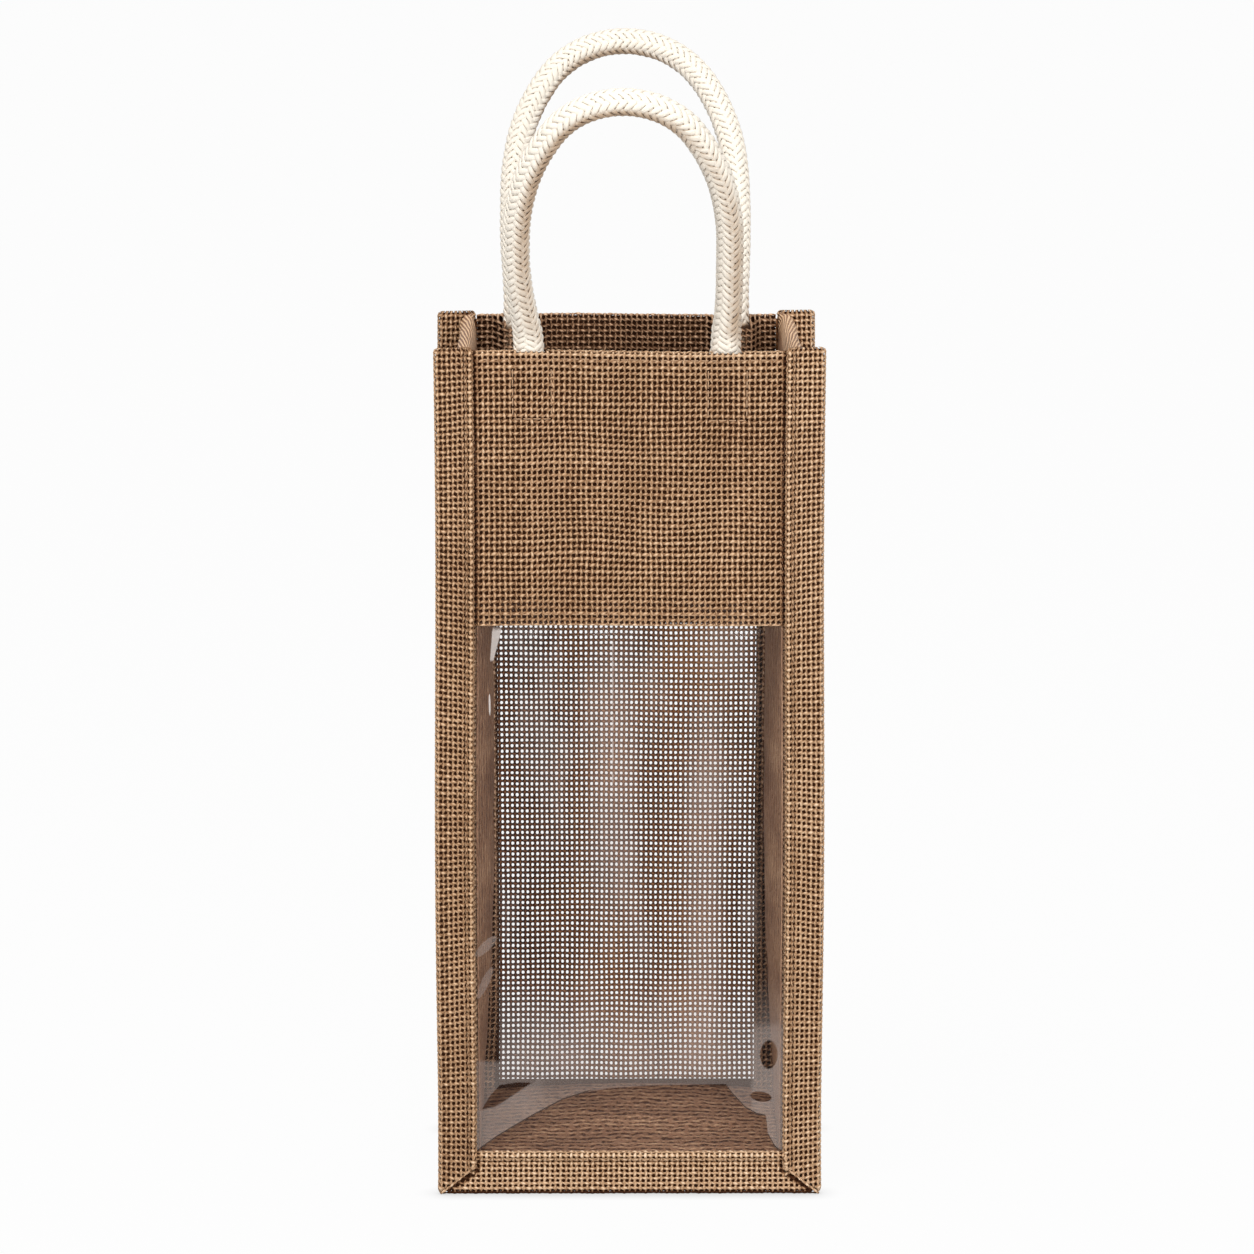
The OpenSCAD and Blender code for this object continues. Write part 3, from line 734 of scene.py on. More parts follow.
# The height inside the cloth of the dark sheets of painted shade.
SHADE_SHEET_DEPTH = -0.48  # the coats' height inside the cloth
for place_name, sx, sy, seed in (("front_right", 1, 1, 11), ("front_left", -1, 1, 12),
                                 ("back_right", 1, -1, 13), ("back_left", -1, -1, 14)):
    def lay(across, up, height, sx=sx, sy=sy, skew=seed):
        x, y, z = side_strip(across, up, height, skew)
        return settle(x * sx, y * sy, z)

    def lay_fold(along, aside, height, sx=sx, sy=sy):
        x = CORNER - along * SLANT[1] + (0.45 + 0.7 * aside) * SLANT[0]
        z = along * SLANT[0] + (0.45 + 0.7 * aside) * SLANT[1]
        return settle(x * sx, (-52.3 - 0.7 * height) * sy, np.maximum(z, 0.05))

    def lay_shade_sheet(s, t, lay=lay):
        low = np.maximum(0.3, (CORNER - SIDE_LINE(s)[0]) * FOLD + 0.6)
        return lay(s, low + t * (STRIP_TOP - 0.8 - low), SHADE_SHEET_DEPTH)

    node = place_name + "_binding"
    weave(place_name + "_strip", STRIP_CLOTH, *side_runs(), lay, strip_jute, "jute_strip", seed, [node],
          sides=4 + (sy > 0), paler=side_light_and_shade if sx > 0 else side_light_and_shade_left)
    # The slanted fold is paler all over, a painted highlight on its rounded rim.
    weave(place_name + "_fold", STRIP_CLOTH, [], [(0, 0.5, 19.0)], lay_fold, strip_jute, "jute_strip",
          seed, [node], paler=lambda x, up: 1.2)
    # The strip's dark sheet paints the shade behind its holes.
    sheet(place_name + "_strip_shade_sheet", (0, SIDE_LINE.length), (0, 1), (48, 48), lay_shade_sheet, node,
          [place_name + "_strip"], flat=(SIDE_LINE.length, STRIP_TOP), held="folded")

# %% [markdown]
# ## The bottom strips
# They are the same folded strip laid along the floor, so their line runs over the same lip and groove,
# from the top edge down to the fold that the bag stands on, and back up inside.

# %% A bottom strip
FOOT_LINE = rounded([(14.0, -50.8), (16.8, -50.8), (17.8, -50.95), (18.4, -51.6), (18.2, -52.4),
                     (17.3, -52.9), (16.1, -52.6), (15.2, -51.7), (14.6, -51.15), (13.9, -51.5),
                     (13.2, -51.65), (9.0, -51.7), (2.6, -51.65), (1.2, -51.45), (0.7, -50.9),
                     (0.65, -50.0), (0.7, -49.1), (1.2, -48.55), (4.0, -48.3), (9.0, -48.35),
                     (16.0, -48.4)])


def foot_strip(along, down, height):
    z, y, nz, ny = FOOT_LINE(down)
    height = height - hill(slant_gap(along, z), 1.6) * smooth(np.abs(along), 62.5, 65.0)
    z, y = z - nz * height, y - ny * height
    return along, y, np.maximum(z, 0.03)


def foot_runs():
    cloth, length = FOOT_CLOTH, FOOT_LINE.length
    lengthwise, crosswise = [], []
    for n in range(0, int(length / cloth["up"]) + 1):
        z = FOOT_LINE(n * cloth["up"])[0]
        reach = CORNER - min(z, MITRE) / FOLD + 0.9
        lengthwise.append((n, -reach, reach))
    for n in range(-35, 36):
        x = abs(n) * cloth["across"]
        top = (CORNER + 0.9 - x) * FOLD + 99 * (x < 65)
        keep = FOOT_LINE.s[FOOT_LINE.p[:, 0] <= top]
        if len(keep) and top > 2:
            crosswise.append((n, keep.min(), keep.max()))
    return crosswise, lengthwise


def foot_light_and_shade(across, down):
    """Painted highlights on the lip and over the whole strip, painted shade in the sewn groove, and
    painted shadow along the fold on the floor and where the strip lies under the side strips."""
    z = FOOT_LINE(down)[0]
    edge_tone = hill(z - 17.6, 1.3) - 1.2 * hill(z - 14.6, 0.8) + 0.8
    side = smooth(np.abs(across), 62.8, 64.8)
    under = 5.0 * hill(slant_gap(across, z) + 1.1, 0.5 + 0.07 * z) + 2.0 * (z > 12)
    return edge_tone - under * side - 6 * (1 - smooth(z, 1.0, 1.9))


for place_name, sy, seed in (("front", 1, 21), ("back", -1, 22)):
    def lay(across, up, height, sy=sy):
        x, y, z = foot_strip(across, up, height)
        return settle(x, y * sy, z)

    def lay_shade_sheet(s, t, lay=lay):
        return lay(t * (CORNER - np.minimum(FOOT_LINE(s)[0], MITRE) / FOLD), s, SHADE_SHEET_DEPTH)

    # A dark thread along the very bottom of each bottom strip is a painted contact shadow where the bag
    # meets the floor.
    def lay_shadow_line(along, aside, height, sy=sy):
        return along, (-51.3 - 0.5 * height) * sy, 0.55 + 0.6 * aside

    node = place_name + "_bottom_binding"
    weave(place_name + "_bottom_strip", FOOT_CLOTH, *foot_runs(), lay, strip_jute, "jute_strip", seed,
          [node], sides=5, paler=foot_light_and_shade)
    weave(place_name + "_foot_shadow_line", FOOT_CLOTH, [], [(0, -79.0, 79.0)], lay_shadow_line, painted_shade_sheet,
          "jute_strip", seed, [node])
    # The strip's dark sheet paints the shade behind its holes.
    sheet(place_name + "_bottom_shade_sheet", (0, FOOT_LINE.length), (-1, 1), (56, 60), lay_shade_sheet, node,
          [place_name + "_bottom_strip"], flat=(2 * HALF_W, FOOT_LINE.length), held="folded")

# %% [markdown]
# ## The panel over the window
# The front panel is doubled: its cloth comes up from the window's edge, turns over the rim and goes down
# again inside. The two rope ends are caught between the layers, so the inner one bulges round them.

# %% Pockets round the rope ends
FACE, LEAF = -50.6, -49.0  # the front's outer face and its inner layer
MOUTH = 6.4  # half the width of the opening that a rope comes out of


def pocket(x, z, side):
    """How far the inner layer is pushed in by the rope ends."""
    beside = np.abs(np.abs(x) - LEG_X[side])
    return 8.8 * (1 - smooth(beside, 6.2, 12.5)) * smooth(z, PAD_LOW - 5, PAD_LOW + 5)


def fold_line(bottom, leaf_bottom):
    """Up the outer face, over the rim and down the inner face."""
    top = RIM - 0.7
    return rounded([(FACE, bottom), (FACE, bottom + 60), (FACE, top - 1.6), (FACE + 0.05, top - 0.4),
                    ((FACE + LEAF) / 2, top + 0.25), (LEAF - 0.05, top - 0.4), (LEAF, top - 1.6),
                    (LEAF, top - 20), (LEAF, leaf_bottom)], 4)


def hemmed(line, side, sy):
    """Places cloth on a fold line and bulges its inner layer round the rope."""
    rim = line.s[np.argmax(line.p[:, 1])]

    def lay(across, up, height):
        free = np.clip((62 - np.abs(across)) / 25, 0, 1) * np.clip(np.abs(up - rim) / 25, 0, 1)
        free = free * np.clip(up / 25, 0, 1)
        shift = (0.55 if sy > 0 else 0.28) * free * waves(across, up, 3 if sy > 0 else 4, 61.0, 34.0)
        across, up = across + 0.6 * shift, up + shift
        y, z, ny, nz = line(up)
        y, z = y - ny * height, z - nz * height
        inner = smooth(up, rim, rim + 2.5)
        y = y + inner * pocket(across, z, side)
        return settle(across, y * sy, z)

    return lay, rim


def split(start, end, centres):
    """A run from start to end with a mouth left open at each centre."""
    runs = []
    for c in centres:
        runs.append((start, c - MOUTH))
        start = c + MOUTH
    return runs + [(start, end)]


def hem_runs(line, rim, cloth, side, half_w):
    """Threads of a hemmed panel, open at the rim where the ropes come out."""
    upright, crosswise = [], []
    legs = (-LEG_X[side], LEG_X[side])
    most = int(half_w / cloth["across"])
    for n in range(-most, most + 1):
        if min(abs(n * cloth["across"] - c) for c in legs) < MOUTH:
            upright += [(n, 0.0, rim - 0.2), (n, rim + 5.2, line.length)]
        else:
            upright.append((n, 0.0, line.length))
    for n in range(int(line.length / cloth["up"]) + 1):
        at_mouth = rim - 0.5 < n * cloth["up"] < rim + 5.0
        crosswise += [(n, *run) for run in split(-half_w, half_w, legs if at_mouth else ())]
    return upright, crosswise


print("pockets ready")

# %% The front panel
FRONT_LINE = fold_line(WINDOW + 0.4, WINDOW + 2)


def rim_pale_and_shade(x, up):
    """Paler along the rim and the lower edge; painted shade where the cloth goes under the strips."""
    edge_tone = 1.6 * hill(up - front_rim + 0.6, 1.6) + 0.8 * hill(up, 1.8)
    return edge_tone - 3.0 * smooth(np.abs(x), 62.3, 64.3)


lay_front, front_rim = hemmed(FRONT_LINE, "front", 1)
ups, crossings = hem_runs(FRONT_LINE, front_rim, PANEL_CLOTH, "front", 65.0)
leaf_start = front_rim + 6
for label, low, high, sides, seed in (("front_panel_threads", 0, leaf_start, 5, 31),
                                      ("front_leaf_threads", leaf_start, 999, 4, 32)):
    part_up = [(n, max(a, low), min(b, high)) for n, a, b in ups if min(b, high) - max(a, low) > 1]
    part_cross = [(n, a, b) for n, a, b in crossings if low <= n * PANEL_CLOTH["up"] < high]
    weave(label, PANEL_CLOTH, part_up, part_cross, lay_front, panel_jute, "jute_panel", seed,
          ["front_panel"], sides=sides, paler=rim_pale_and_shade)

# %% [markdown]
# ## The see-through back
# The back is a more open cloth of the same kind. Its holes aren't backed by a dark sheet of painted
# shade, so the white behind shines through. Only its hems, at the rim and along both sides, are doubled.

# %% The back
BACK_LINE = fold_line(2.0, RIM - HEM)
lay_back, back_rim = hemmed(BACK_LINE, "back", -1)
ups, crossings = hem_runs(BACK_LINE, back_rim, MESH_CLOTH, "back", 64.5)
hem_start = back_rim - 3.0
for label, part_up, part_cross in (
        ("back_warp", [(n, a, min(b, hem_start)) for n, a, b in ups if a < hem_start], []),
        ("back_weft", [], [c for c in crossings if c[0] * MESH_CLOTH["up"] <= hem_start])):
    weave(label, MESH_CLOTH, part_up, part_cross, lay_back, mesh_jute, "jute_panel", 41, ["back_panel"],
          sides=5, rough=0.55, paler=lambda x, up: smooth(x, 8, 40) - 0.9 * smooth(-x, 15, 50))

# %% The back's hems
ups, crossings = hem_runs(BACK_LINE, back_rim, HEM_CLOTH, "back", 64.0)
weave("back_hem", HEM_CLOTH, [(n, max(a, hem_start), b) for n, a, b in ups if b > hem_start + 1],
      [c for c in crossings if c[0] * HEM_CLOTH["up"] > hem_start], lay_back, shaded_hem_jute, "jute_panel",
      43, ["back_panel"], sides=4, paler=lambda x, up: 1.3 * hill(up - back_rim, 2.0))


def lay_side_hem(across, up, height):
    across = across - 1.4 * (1 - smooth(up, 18, 60)) * (across < 0)
    return settle(across, 48.9 - height, up)


for place_name, sx, first, start in (("right", 1, 26, 54.9), ("left", -1, 27, 56.6)):
    upright = [(n * sx, 18.5, 324.0) for n in range(first, 30)]
    rows = [(n, *sorted((start * sx, 64.0 * sx))) for n in range(8, 135)]
    weave(f"back_{place_name}_hem", MESH_CLOTH, upright, rows, lay_side_hem, shaded_hem_jute, "jute_panel", 44,
          ["back_panel"], sides=4)

# %% Dark sheets of painted shade inside the doubled cloth
hem_low, hem_top = RIM - HEM + 0.5, RIM - 1.4
for name, across, up, y in (("front_shade_sheet", (-64.5, 64.5), (WINDOW + 1.5, hem_top), -49.8),
                            ("back_shade_sheet", (-63.8, 63.8), (hem_low, hem_top), 49.8),
                            ("back_foot_shade_sheet", (-63.8, 63.8), (12.0, 22.6), 49.8),
                            ("back_right_shade_sheet", (54.8, 65.0), (19.0, hem_low), 49.75),
                            ("back_left_shade_sheet", (-66.6, -56.5), (19.0, hem_low), 49.75)):
    def lay_flat(s, t, y=y):
        return settle(s, y + 0.1 * waves(s, t, 6, 30.0), t)

    node = "front_panel" if y < 0 else "back_panel"
    sheet(name, across, up, (26, 24), lay_flat, node, [node], slot="jute_panel")

# %% [markdown]
# ## The side walls
# Outside, a side wall is woven jute between the two flanges of strips. It bows inwards and turns out
# into the seams at both edges. Its hem is folded outwards, so its top shows the laminated face.

# %% Woven face of the side walls
WALL_LINE = rounded([(71.0, -49.5), (66.4, -49.5), (64.7, -49.3), (64.25, -48.3), (64.25, -46.0),
                     (64.25, 0.0), (64.25, 46.0), (64.25, 48.3), (64.7, 49.3), (66.4, 49.5),
                     (71.0, 49.5)], 4)


def spread(z):
    """The top of a wall leans outwards."""
    return 2.0 * smooth(z, 300, 350)


def side_wall(sx):
    def lay(across, up, height):
        x, y, nx, ny = WALL_LINE(across)
        x, y = x + nx * height - cad_bow(y, up) + spread(up), y + ny * height
        return settle(x * sx, y, up)

    return lay


WALL_TOP = 338.0
warp = [(n, 9.5, WALL_TOP) for n in range(int(WALL_LINE.length / PANEL_CLOTH["across"]) + 1)]
weft = [(n, 0, WALL_LINE.length) for n in range(4, int(WALL_TOP / PANEL_CLOTH["up"]) + 1)]
for place_name, sx, seed in (("right", 1, 51), ("left", -1, 52)):
    for label, up_runs, cross_runs in (("warp", warp, []), ("weft", [], weft)):
        weave(f"{place_name}_wall_{label}", PANEL_CLOTH, up_runs, cross_runs, side_wall(sx), side_jute,
              "jute_lined", seed, sides=4)

# %% Lining of the side walls
LIP = rounded([(63.0, 0.0), (63.0, 300.0), (63.0, 349.0), (63.1, 354.6), (63.7, 358.6), (65.4, 360.7),
               (67.7, 360.1), (69.5, 357.3), (70.0, 353.2), (68.9, 349.6), (67.0, 347.6),
               (65.9, 344.0), (65.6, 338.0), (65.6, 334.0)], 4)
for place_name, sx, seed in (("right", 1, 1), ("left", -1, 2)):
    def lay(s, t, sx=sx, seed=seed):
        x, z, _, _ = LIP(t)
        roll = 1 - 0.75 * smooth(np.abs(s), 44.5, 47.6)
        x = 63.0 + (x - 63.0) * roll
        edge = np.clip((np.abs(s) - 46) / 4, 0, 1)
        x = x - cad_bow(s, z) + edge ** 2 * 0.6 + spread(z)
        loose = np.clip((47 - np.abs(s)) / 12, 0, 1)
        x = x + loose * 0.22 * waves(s, z, seed, 40.0, 21.0)
        return settle(x * sx, s, z)

    def lay_shade_sheet(s, t, sx=sx):
        return settle((63.5 - cad_bow(s, t) + spread(t)) * sx, s, t)

    on = (place_name + "_gusset", [place_name + "_wall_warp"], "jute_lined")
    sheet(place_name + "_wall_lining", (-50.2, 50.2), (10.0, LIP.length), (32, 190), lay, *on,
          linings[place_name], 0.2)
    # A dark sheet between the wall's weave and its lining paints the shade behind the holes.
    sheet(place_name + "_wall_shade_sheet", (-48.2, 48.2), (10.0, 336.0), (24, 60), lay_shade_sheet, *on)

# %% The floor
def floor_place(s, t):
    crown = np.clip(1 - (s / 62) ** 2, 0, 1)
    z = FLOOR - 0.5 + crown * (2.7 * smooth(t, -50, 40) + 0.3 * waves(s, t, 5, 45.0, 24.0))
    return settle(s, t, z)


sheet("floor_cloth", (-62.8, 62.8), (-49.9, 49.9), (56, 44), floor_place, "base_panel",
      ["front_bottom_strip"], "jute_lined", floor_lining, 0.9)

# %% [markdown]
# ## Clear film
# The film is 0.4 mm of soft plastic, pulled tight at its edges and slightly wavy in between. Straight
# light passes it, so it is mostly transparent. Where it bends towards a window or lamp it mirrors it:
# those reflections are painted on it as whitish patches with sharp edges, as on any sheet of soft
# plastic. Those places are drawn as curves over the sheet: an arch above the floor, a lens left of it,
# holes on the right, a streak at the top and soft upright bands, with a few painted highlights. A dark
# line of painted shade runs along parts of the arch, where the floor meets the back behind the film.

# %% The shape of the film
def film_place(s, t):
    inside = np.clip((64 - np.abs(s)) / 10, 0, 1) * np.clip((t - 18) / 12, 0, 1)
    inside = inside * np.clip((245 - t) / 6, 0, 1)
    low = hill(t - 34, 22) * np.clip((np.abs(s) - 22) / 36, 0, 1)
    y = -50.2 - inside * (0.7 + 0.28 * waves(s, t * 0.6, 7, 60.0, 33.0) + 0.5 * low
                          * np.sin(t / 5.5 + s / 9))
    back = smooth(t, 239.0, 244.5)
    return settle(s, y + back * 0.45, t)


# %% Painted reflections and shade on the film
film = Finish("film", Roughness=0.08, IOR=1.5, Specular_IOR_Level=0.6)
spot = film.node("UVMap", {"uv_map": "cloth"})
wide, tall = film.parts(spot, 0, 1)
leftward = wide * -1.0


def oval(x, z, half_wide, half_tall, lean=0.0):
    """1 inside a leaning oval on the film."""
    a, b = (wide - x) * (1 / half_wide), (tall - z + (wide - x) * lean) * (1 / half_tall)
    return 1 - (a * a + b * b).between(0.8, 1.1)


def band(centre, half, low, high, fade):
    """1 in an upright band, fading at both ends."""
    across = ((wide - centre) * (1 / half)).size()
    return (1 - across.between(0.15, 1.0)) * tall.between(low, low + fade) * (
        1 - tall.between(high - fade, high))


arch = film.drawn(wide, [(-65, 18), (-62.3, 20.4), (-56, 25), (-48.5, 29.8), (-40.9, 34.4), (-27.9, 41.4),
                         (-17.6, 44.9), (-8, 46.2), (10, 47.5), (40.7, 47.9), (43, 44.2), (48.8, 37.7),
                         (53.7, 34.9), (57.6, 34), (58.4, 26), (61.7, 20), (65, 18)])
lens_low = film.drawn(wide, [(-65, 36), (-62.7, 36.3), (-56.9, 37.8), (-45.8, 45.1), (-40.9, 48.5),
                             (-34, 54), (65, 54)])
lens_high = film.drawn(wide, [(-65, 30), (-62.7, 36.3), (-58.6, 43.4), (-54.7, 47.7), (-47, 48.8),
                              (-40.9, 48.5), (-34, 46), (65, 46)])
above = (tall - arch).between(-0.3, 0.3)
lens = (tall - lens_low).between(0.0, 0.5) * (lens_high - tall).between(0.0, 0.5)
strip = above * (lens_low - tall).between(0.0, 0.6) * leftward.between(30.0, 44.0)
corner = leftward.between(54.0, 55.2) * tall.between(56.5, 58.5)
right_side = wide.between(50.5, 52.5) * (1 - tall.between(70.0, 76.0))
cloud = film.noise(film.stretched(spot, (0.036, 0.013, 1.0)), 1.0, 3.0, 0.6)
fine = film.noise(film.stretched(spot, (0.3, 0.16, 1.0)), 1.0, 2.0)
bands = band(-7.0, 15.0, 95.0, 262.0, 60.0) * 0.10 + band(31.0, 12.0, 40.0, 225.0, 55.0) * 0.11
soft_reflections = bands + cloud.between(0.46, 0.66) * 0.06 * (1 - (wide * wide).between(2600.0, 3100.0))
soft_reflections = soft_reflections * tall.between(46.0, 60.0)
low_reflection = above * (1 - tall.between(50.0, 100.0)) * 0.13
side_reflection = above * right_side * 0.12
clear = (1 - lens) * (1 - corner) * (1 - oval(58.6, 60.4, 3.8, 6.4)) * (1 - oval(55.4, 42.3, 4.6, 2.3, 0.14))
# spots are two small painted reflections on the left.
spots = oval(-60.0, 107.4, 4.6, 2.7, -0.84) * 0.14 + oval(-60.6, 91.5, 3.6, 3.6, -1.7) * 0.12
# The streak at the top, the glint and the thin upright line at -7 mm are painted highlights.
taper = ((tall - 229.3) * (1 / 12.5)).clip() * 1.2 + 0.7
streak = (1 - ((wide + 57.4 - (tall - 229.5) * 0.16).size() / taper).between(0.8, 1.1))
streak = streak * tall.between(229.0, 230.4) * (1 - tall.between(241.5, 244.5)) * 0.5
crease_highlight = band(-7.0, 0.45, 170.0, 246.0, 8.0) * fine.between(0.4, 0.6) * 0.35
glint = oval(-58.2, 211.0, 0.4, 4.5, 3.0) * 0.75
# edge is a dark line of painted shade along the arch, where the floor meets the back.
edge = (1 - (tall - arch).size().between(0.12, 0.42)) * (
    leftward.between(8.0, 24.0) + wide.between(40.0, 42.0)) * 0.55
shine = streak + glint + crease_highlight
reflection_and_shade = 0.012 + (low_reflection + side_reflection + strip * 0.08) * clear + soft_reflections + spots + shine + edge
reflection_and_shade = reflection_and_shade.clip()
reflection_colour = film.mix(fine, tint(166, 152, 145), tint(184, 170, 163))
reflection_colour = film.mix((soft_reflections * 8.0).clip(), reflection_colour, tint(186, 162, 150))
reflection_colour = film.mix((shine * 2.0).clip(), reflection_colour, tint(206, 196, 190))
film.use(Base_Color=film.mix((edge * 3.0).clip(), reflection_colour, tint(52, 36, 28)), Alpha=reflection_and_shade)

# %% The film
sheet("film_sheet", (-66.5, 66.5), (6.0, 255.5), (80, 150), film_place, "window_film",
      ["front_left_strip", "front_right_strip", "front_bottom_strip"], "clear_film", film.material, 0.4)

# %% [markdown]
# ## Braided rope
# The handle is a hollow braid of eight strands each way over a filling. Each strand passes over two
# and under the next two, with grooves and gaps between them that get painted shade, most on the side
# away from the light. On the unrolled rope a strand is a straight slanted line, so its points are
# worked out there first.

# %% The line of a handle
LEAN, MORE = math.radians(27), 3.4
LOOPS = {"front": (43.0, 54.0, 116.6), "back": (47.3, 58.0, 121.2)}
SWAY = {"front": 1.8, "back": 0.4}
TURN = math.radians(56.0)


def upright_line(leg, half, widest, rise):
    """Half of the loop in its own plane, from the rim to the top: across and height. It is half wide
    at the height widest."""
    t = TURN
    step = (rise - widest - half) / (math.cos(t) + math.sin(t) - 1)
    r_top = half - step * (1 - math.sin(t))
    r_leg = widest / math.sin(2 * math.atan((half - leg) / widest))
    b = math.asin((widest - 4) / r_leg)
    arcs = [(half - r_leg, widest, r_leg, -b, 0, 30),
            (-step * math.sin(t), rise - r_top - step * math.cos(t), r_top + step, 0,
             math.pi / 2 - t, 30),
            (0, rise - r_top, r_top, math.pi / 2 - t, math.pi / 2, 30)]
    return np.array([(cx + r * math.cos(a), cz + r * math.sin(a)) for cx, cz, r, a0, a1, n in arcs
                     for a in np.linspace(a0, a1, n)[(1 if a0 > -b else 0):]])


def rope_line(side):
    """Middle of the rope from one hem pocket round the loop to the other, evenly spaced."""
    leg = LEG_X[side]
    half = upright_line(leg, *LOOPS[side])
    half[:, 0] += 0.9 * np.sin(np.pi * np.clip(half[:, 1] / 66, 0, 1))
    half = half + (0, MORE)
    half = np.vstack([[(leg, PAD_LOW - RIM), (leg, -14.0), (leg + 0.05, -7.0), (leg + 0.2, 0.0)],
                      half])
    loop = np.vstack([half, half[-2::-1] * (-1, 1)])
    far = running(np.hypot(*np.diff(loop, axis=0).T))
    even = np.linspace(0, far[-1], 700)
    x, h = (np.interp(even, far, loop[:, k]) for k in (0, 1))
    soft = np.hanning(25) / np.hanning(25).sum()
    x, h = (np.convolve(np.pad(v, 12, "reflect", reflect_type="odd"), soft, "valid")
            for v in (x, h))
    grid = np.linspace(PAD_LOW - RIM - 2, 140, 800)
    tilt = LEAN * smooth(grid, -2.0, 12.0)
    out, rise = (running(np.diff(grid) * f(tilt[1:])) for f in (np.sin, np.cos))
    in_hem = 1 - smooth(h, -9.0, -1.0)
    x = x - smooth(h, -20.0, -2.0) - SWAY[side] * smooth(h, 0.0, 45.0)
    y = -(44.15 + 1.45 * in_hem) - np.interp(h, grid, out)
    z = RIM + grid[0] + np.interp(h, grid, rise)
    return np.stack([x, y, z], 1)


for side in LOOPS:
    print(side, "rope", round(float(np.sum(gaps(rope_line(side))))), "mm long")

# %% The braid
BRAID_N, BRAID_R, BRAID_ANGLE = 8, 4.9, math.radians(49)
CORE_R = 4.5
SHADE_WAY = (0.36, 0, -0.93)  # towards the side of the rope that is away from the light
STRAND = np.array([(-1, 0), (-0.8, 0.55), (-0.3, 0.9), (0.3, 0.9), (0.8, 0.55), (1, 0), (0.45, -0.6),
                   (-0.45, -0.6)])


def frame_along(line, where):
    """Place, side and thickness direction of the rope at distances along it."""
    s = running(gaps(line))
    run = np.gradient(line, s, axis=0)
    run /= np.linalg.norm(run, axis=1)[:, None]
    side = np.cross(run, (0, 1, 0))
    side /= np.linalg.norm(side, axis=1)[:, None]
    out = np.cross(side, run)
    return [np.stack([np.interp(where, s, v[:, k]) for k in range(3)], 1)
            for v in (line, side, out)]


def on_rope(line, where, angle, radius):
    """A point at an angle and radius round the rope, flattened where it lies in the hem."""
    place, side, out = frame_along(line, where)
    flat = 1 - smooth(place[:, 2], PAD_TOP - 1, RIM + 1)
    flare = 1 + 0.12 * hill(place[:, 2] - RIM - 2, 9)
    wide, thin = (1 + 0.22 * flat) * flare, 1 - 0.37 * flat
    return (place + side * (radius * wide * np.cos(angle))[:, None]
            + out * (radius * thin * np.sin(angle))[:, None])


def braid(name, line, seed):
    length = float(np.sum(gaps(line)))
    twist = math.tan(BRAID_ANGLE) / BRAID_R
    crossing = math.pi / BRAID_N / twist
    steps = round(length / crossing * 2)
    threads = Threads(len(STRAND), seed)
    for hand in (1, -1):
        for n in range(BRAID_N):
            threads.add(steps, hand, n)
    share, _, _, (hand, number) = threads.gather()
    phase = threads.chance(4)
    w, n = STRAND[threads.corner.astype(int)].T
    where = share * length
    thick = 1 + 0.05 * threads.normal() + 0.07 * uneven(where, phase, 23.0, 9.0)
    gap = (np.abs(w) > 0.9) * (0.4 + 0.6 * np.clip(0.5 + 0.8 * uneven(where, phase, 7.0, 3.1), 0, 1))
    w = w * 1.16 * thick
    step = where / crossing
    lift = np.where(hand > 0, np.cos(np.pi / 2 * (step + 2 * number - 0.5)),
                    -np.cos(np.pi / 2 * (2 * number - step - 0.5)))
    lift = np.clip(1.35 * lift, -0.9, 0.9)
    radius = BRAID_R + 0.36 * lift + 0.55 * n * thick
    angle = hand * twist * where + 2 * np.pi * number / BRAID_N + w * math.cos(BRAID_ANGLE) / BRAID_R
    slide = np.clip(where - hand * w * math.sin(BRAID_ANGLE), 0, length)
    xyz = on_rope(line, slide, angle, radius)
    fibre = (where + number * 53.0 + hand * 777.0, w, n)
    tone = 0.5 + 0.2 * threads.normal() + 0.15 * uneven(where, phase, 41.0, 13.0)
    # Painted shade: the rope is darkened where it goes down into the hem below the rim.
    tone = tone - 4 * smooth(RIM - 1.5 - xyz[:, 2], 0, 3)
    # crown carries painted light: the side away from the light is painted darker, and the grooves get
    # painted shade, strongest on that side.
    away = (xyz - frame_along(line, slide)[0]) @ SHADE_WAY / BRAID_R
    gap = gap * (0.10 + 1.1 * smooth(away, -0.5, 0.8)) * (0.55 + 0.6 * (1 - np.abs(lift)))
    lit = np.maximum(1.16 + 0.12 * n - 0.95 * smooth(away, 0.0, 1.0), 0.40)
    crown = np.clip(lit - gap, 0, 1.25)
    return threads.finish(name, xyz.T, fibre, tone, crown, length * 0.3)


def filling(name, line):
    """A plain round core that closes the gaps of the braid."""
    length = float(np.sum(gaps(line)))
    threads = Threads(16, 9)
    threads.add(220, 0)
    share, c, n, _ = threads.gather()
    xyz = on_rope(line, 0.6 + share * (length - 1.2), np.arctan2(n, c), np.full(len(c), CORE_R))
    half = np.full(len(c), 0.5)
    return threads.finish(name, xyz.T, (share * length, CORE_R * c, CORE_R * n), half, half, length)


for side, sy, seed in (("front", 1, 61), ("back", -1, 62)):
    line = rope_line(side) * (1, sy, 1)
    cover = braid(side + "_rope", line, seed)
    dress(cover, rope_cotton, body=None,
          replaces=[side + "_handle_cover", side + "_handle_ends"])
    core = filling(side + "_rope_filling", line)
    dress(core, core_cotton, body=None, replaces=[side + "_handle_core"])
    for piece in (cover, core):
        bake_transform(piece)

# %% [markdown]
# ## Stitches
# The seams are sewn with jute-coloured thread. A stitch is a short round thread that rises from the
# cloth, lies on it and dives back, so it is bent upwards in the middle and its ends sink in.

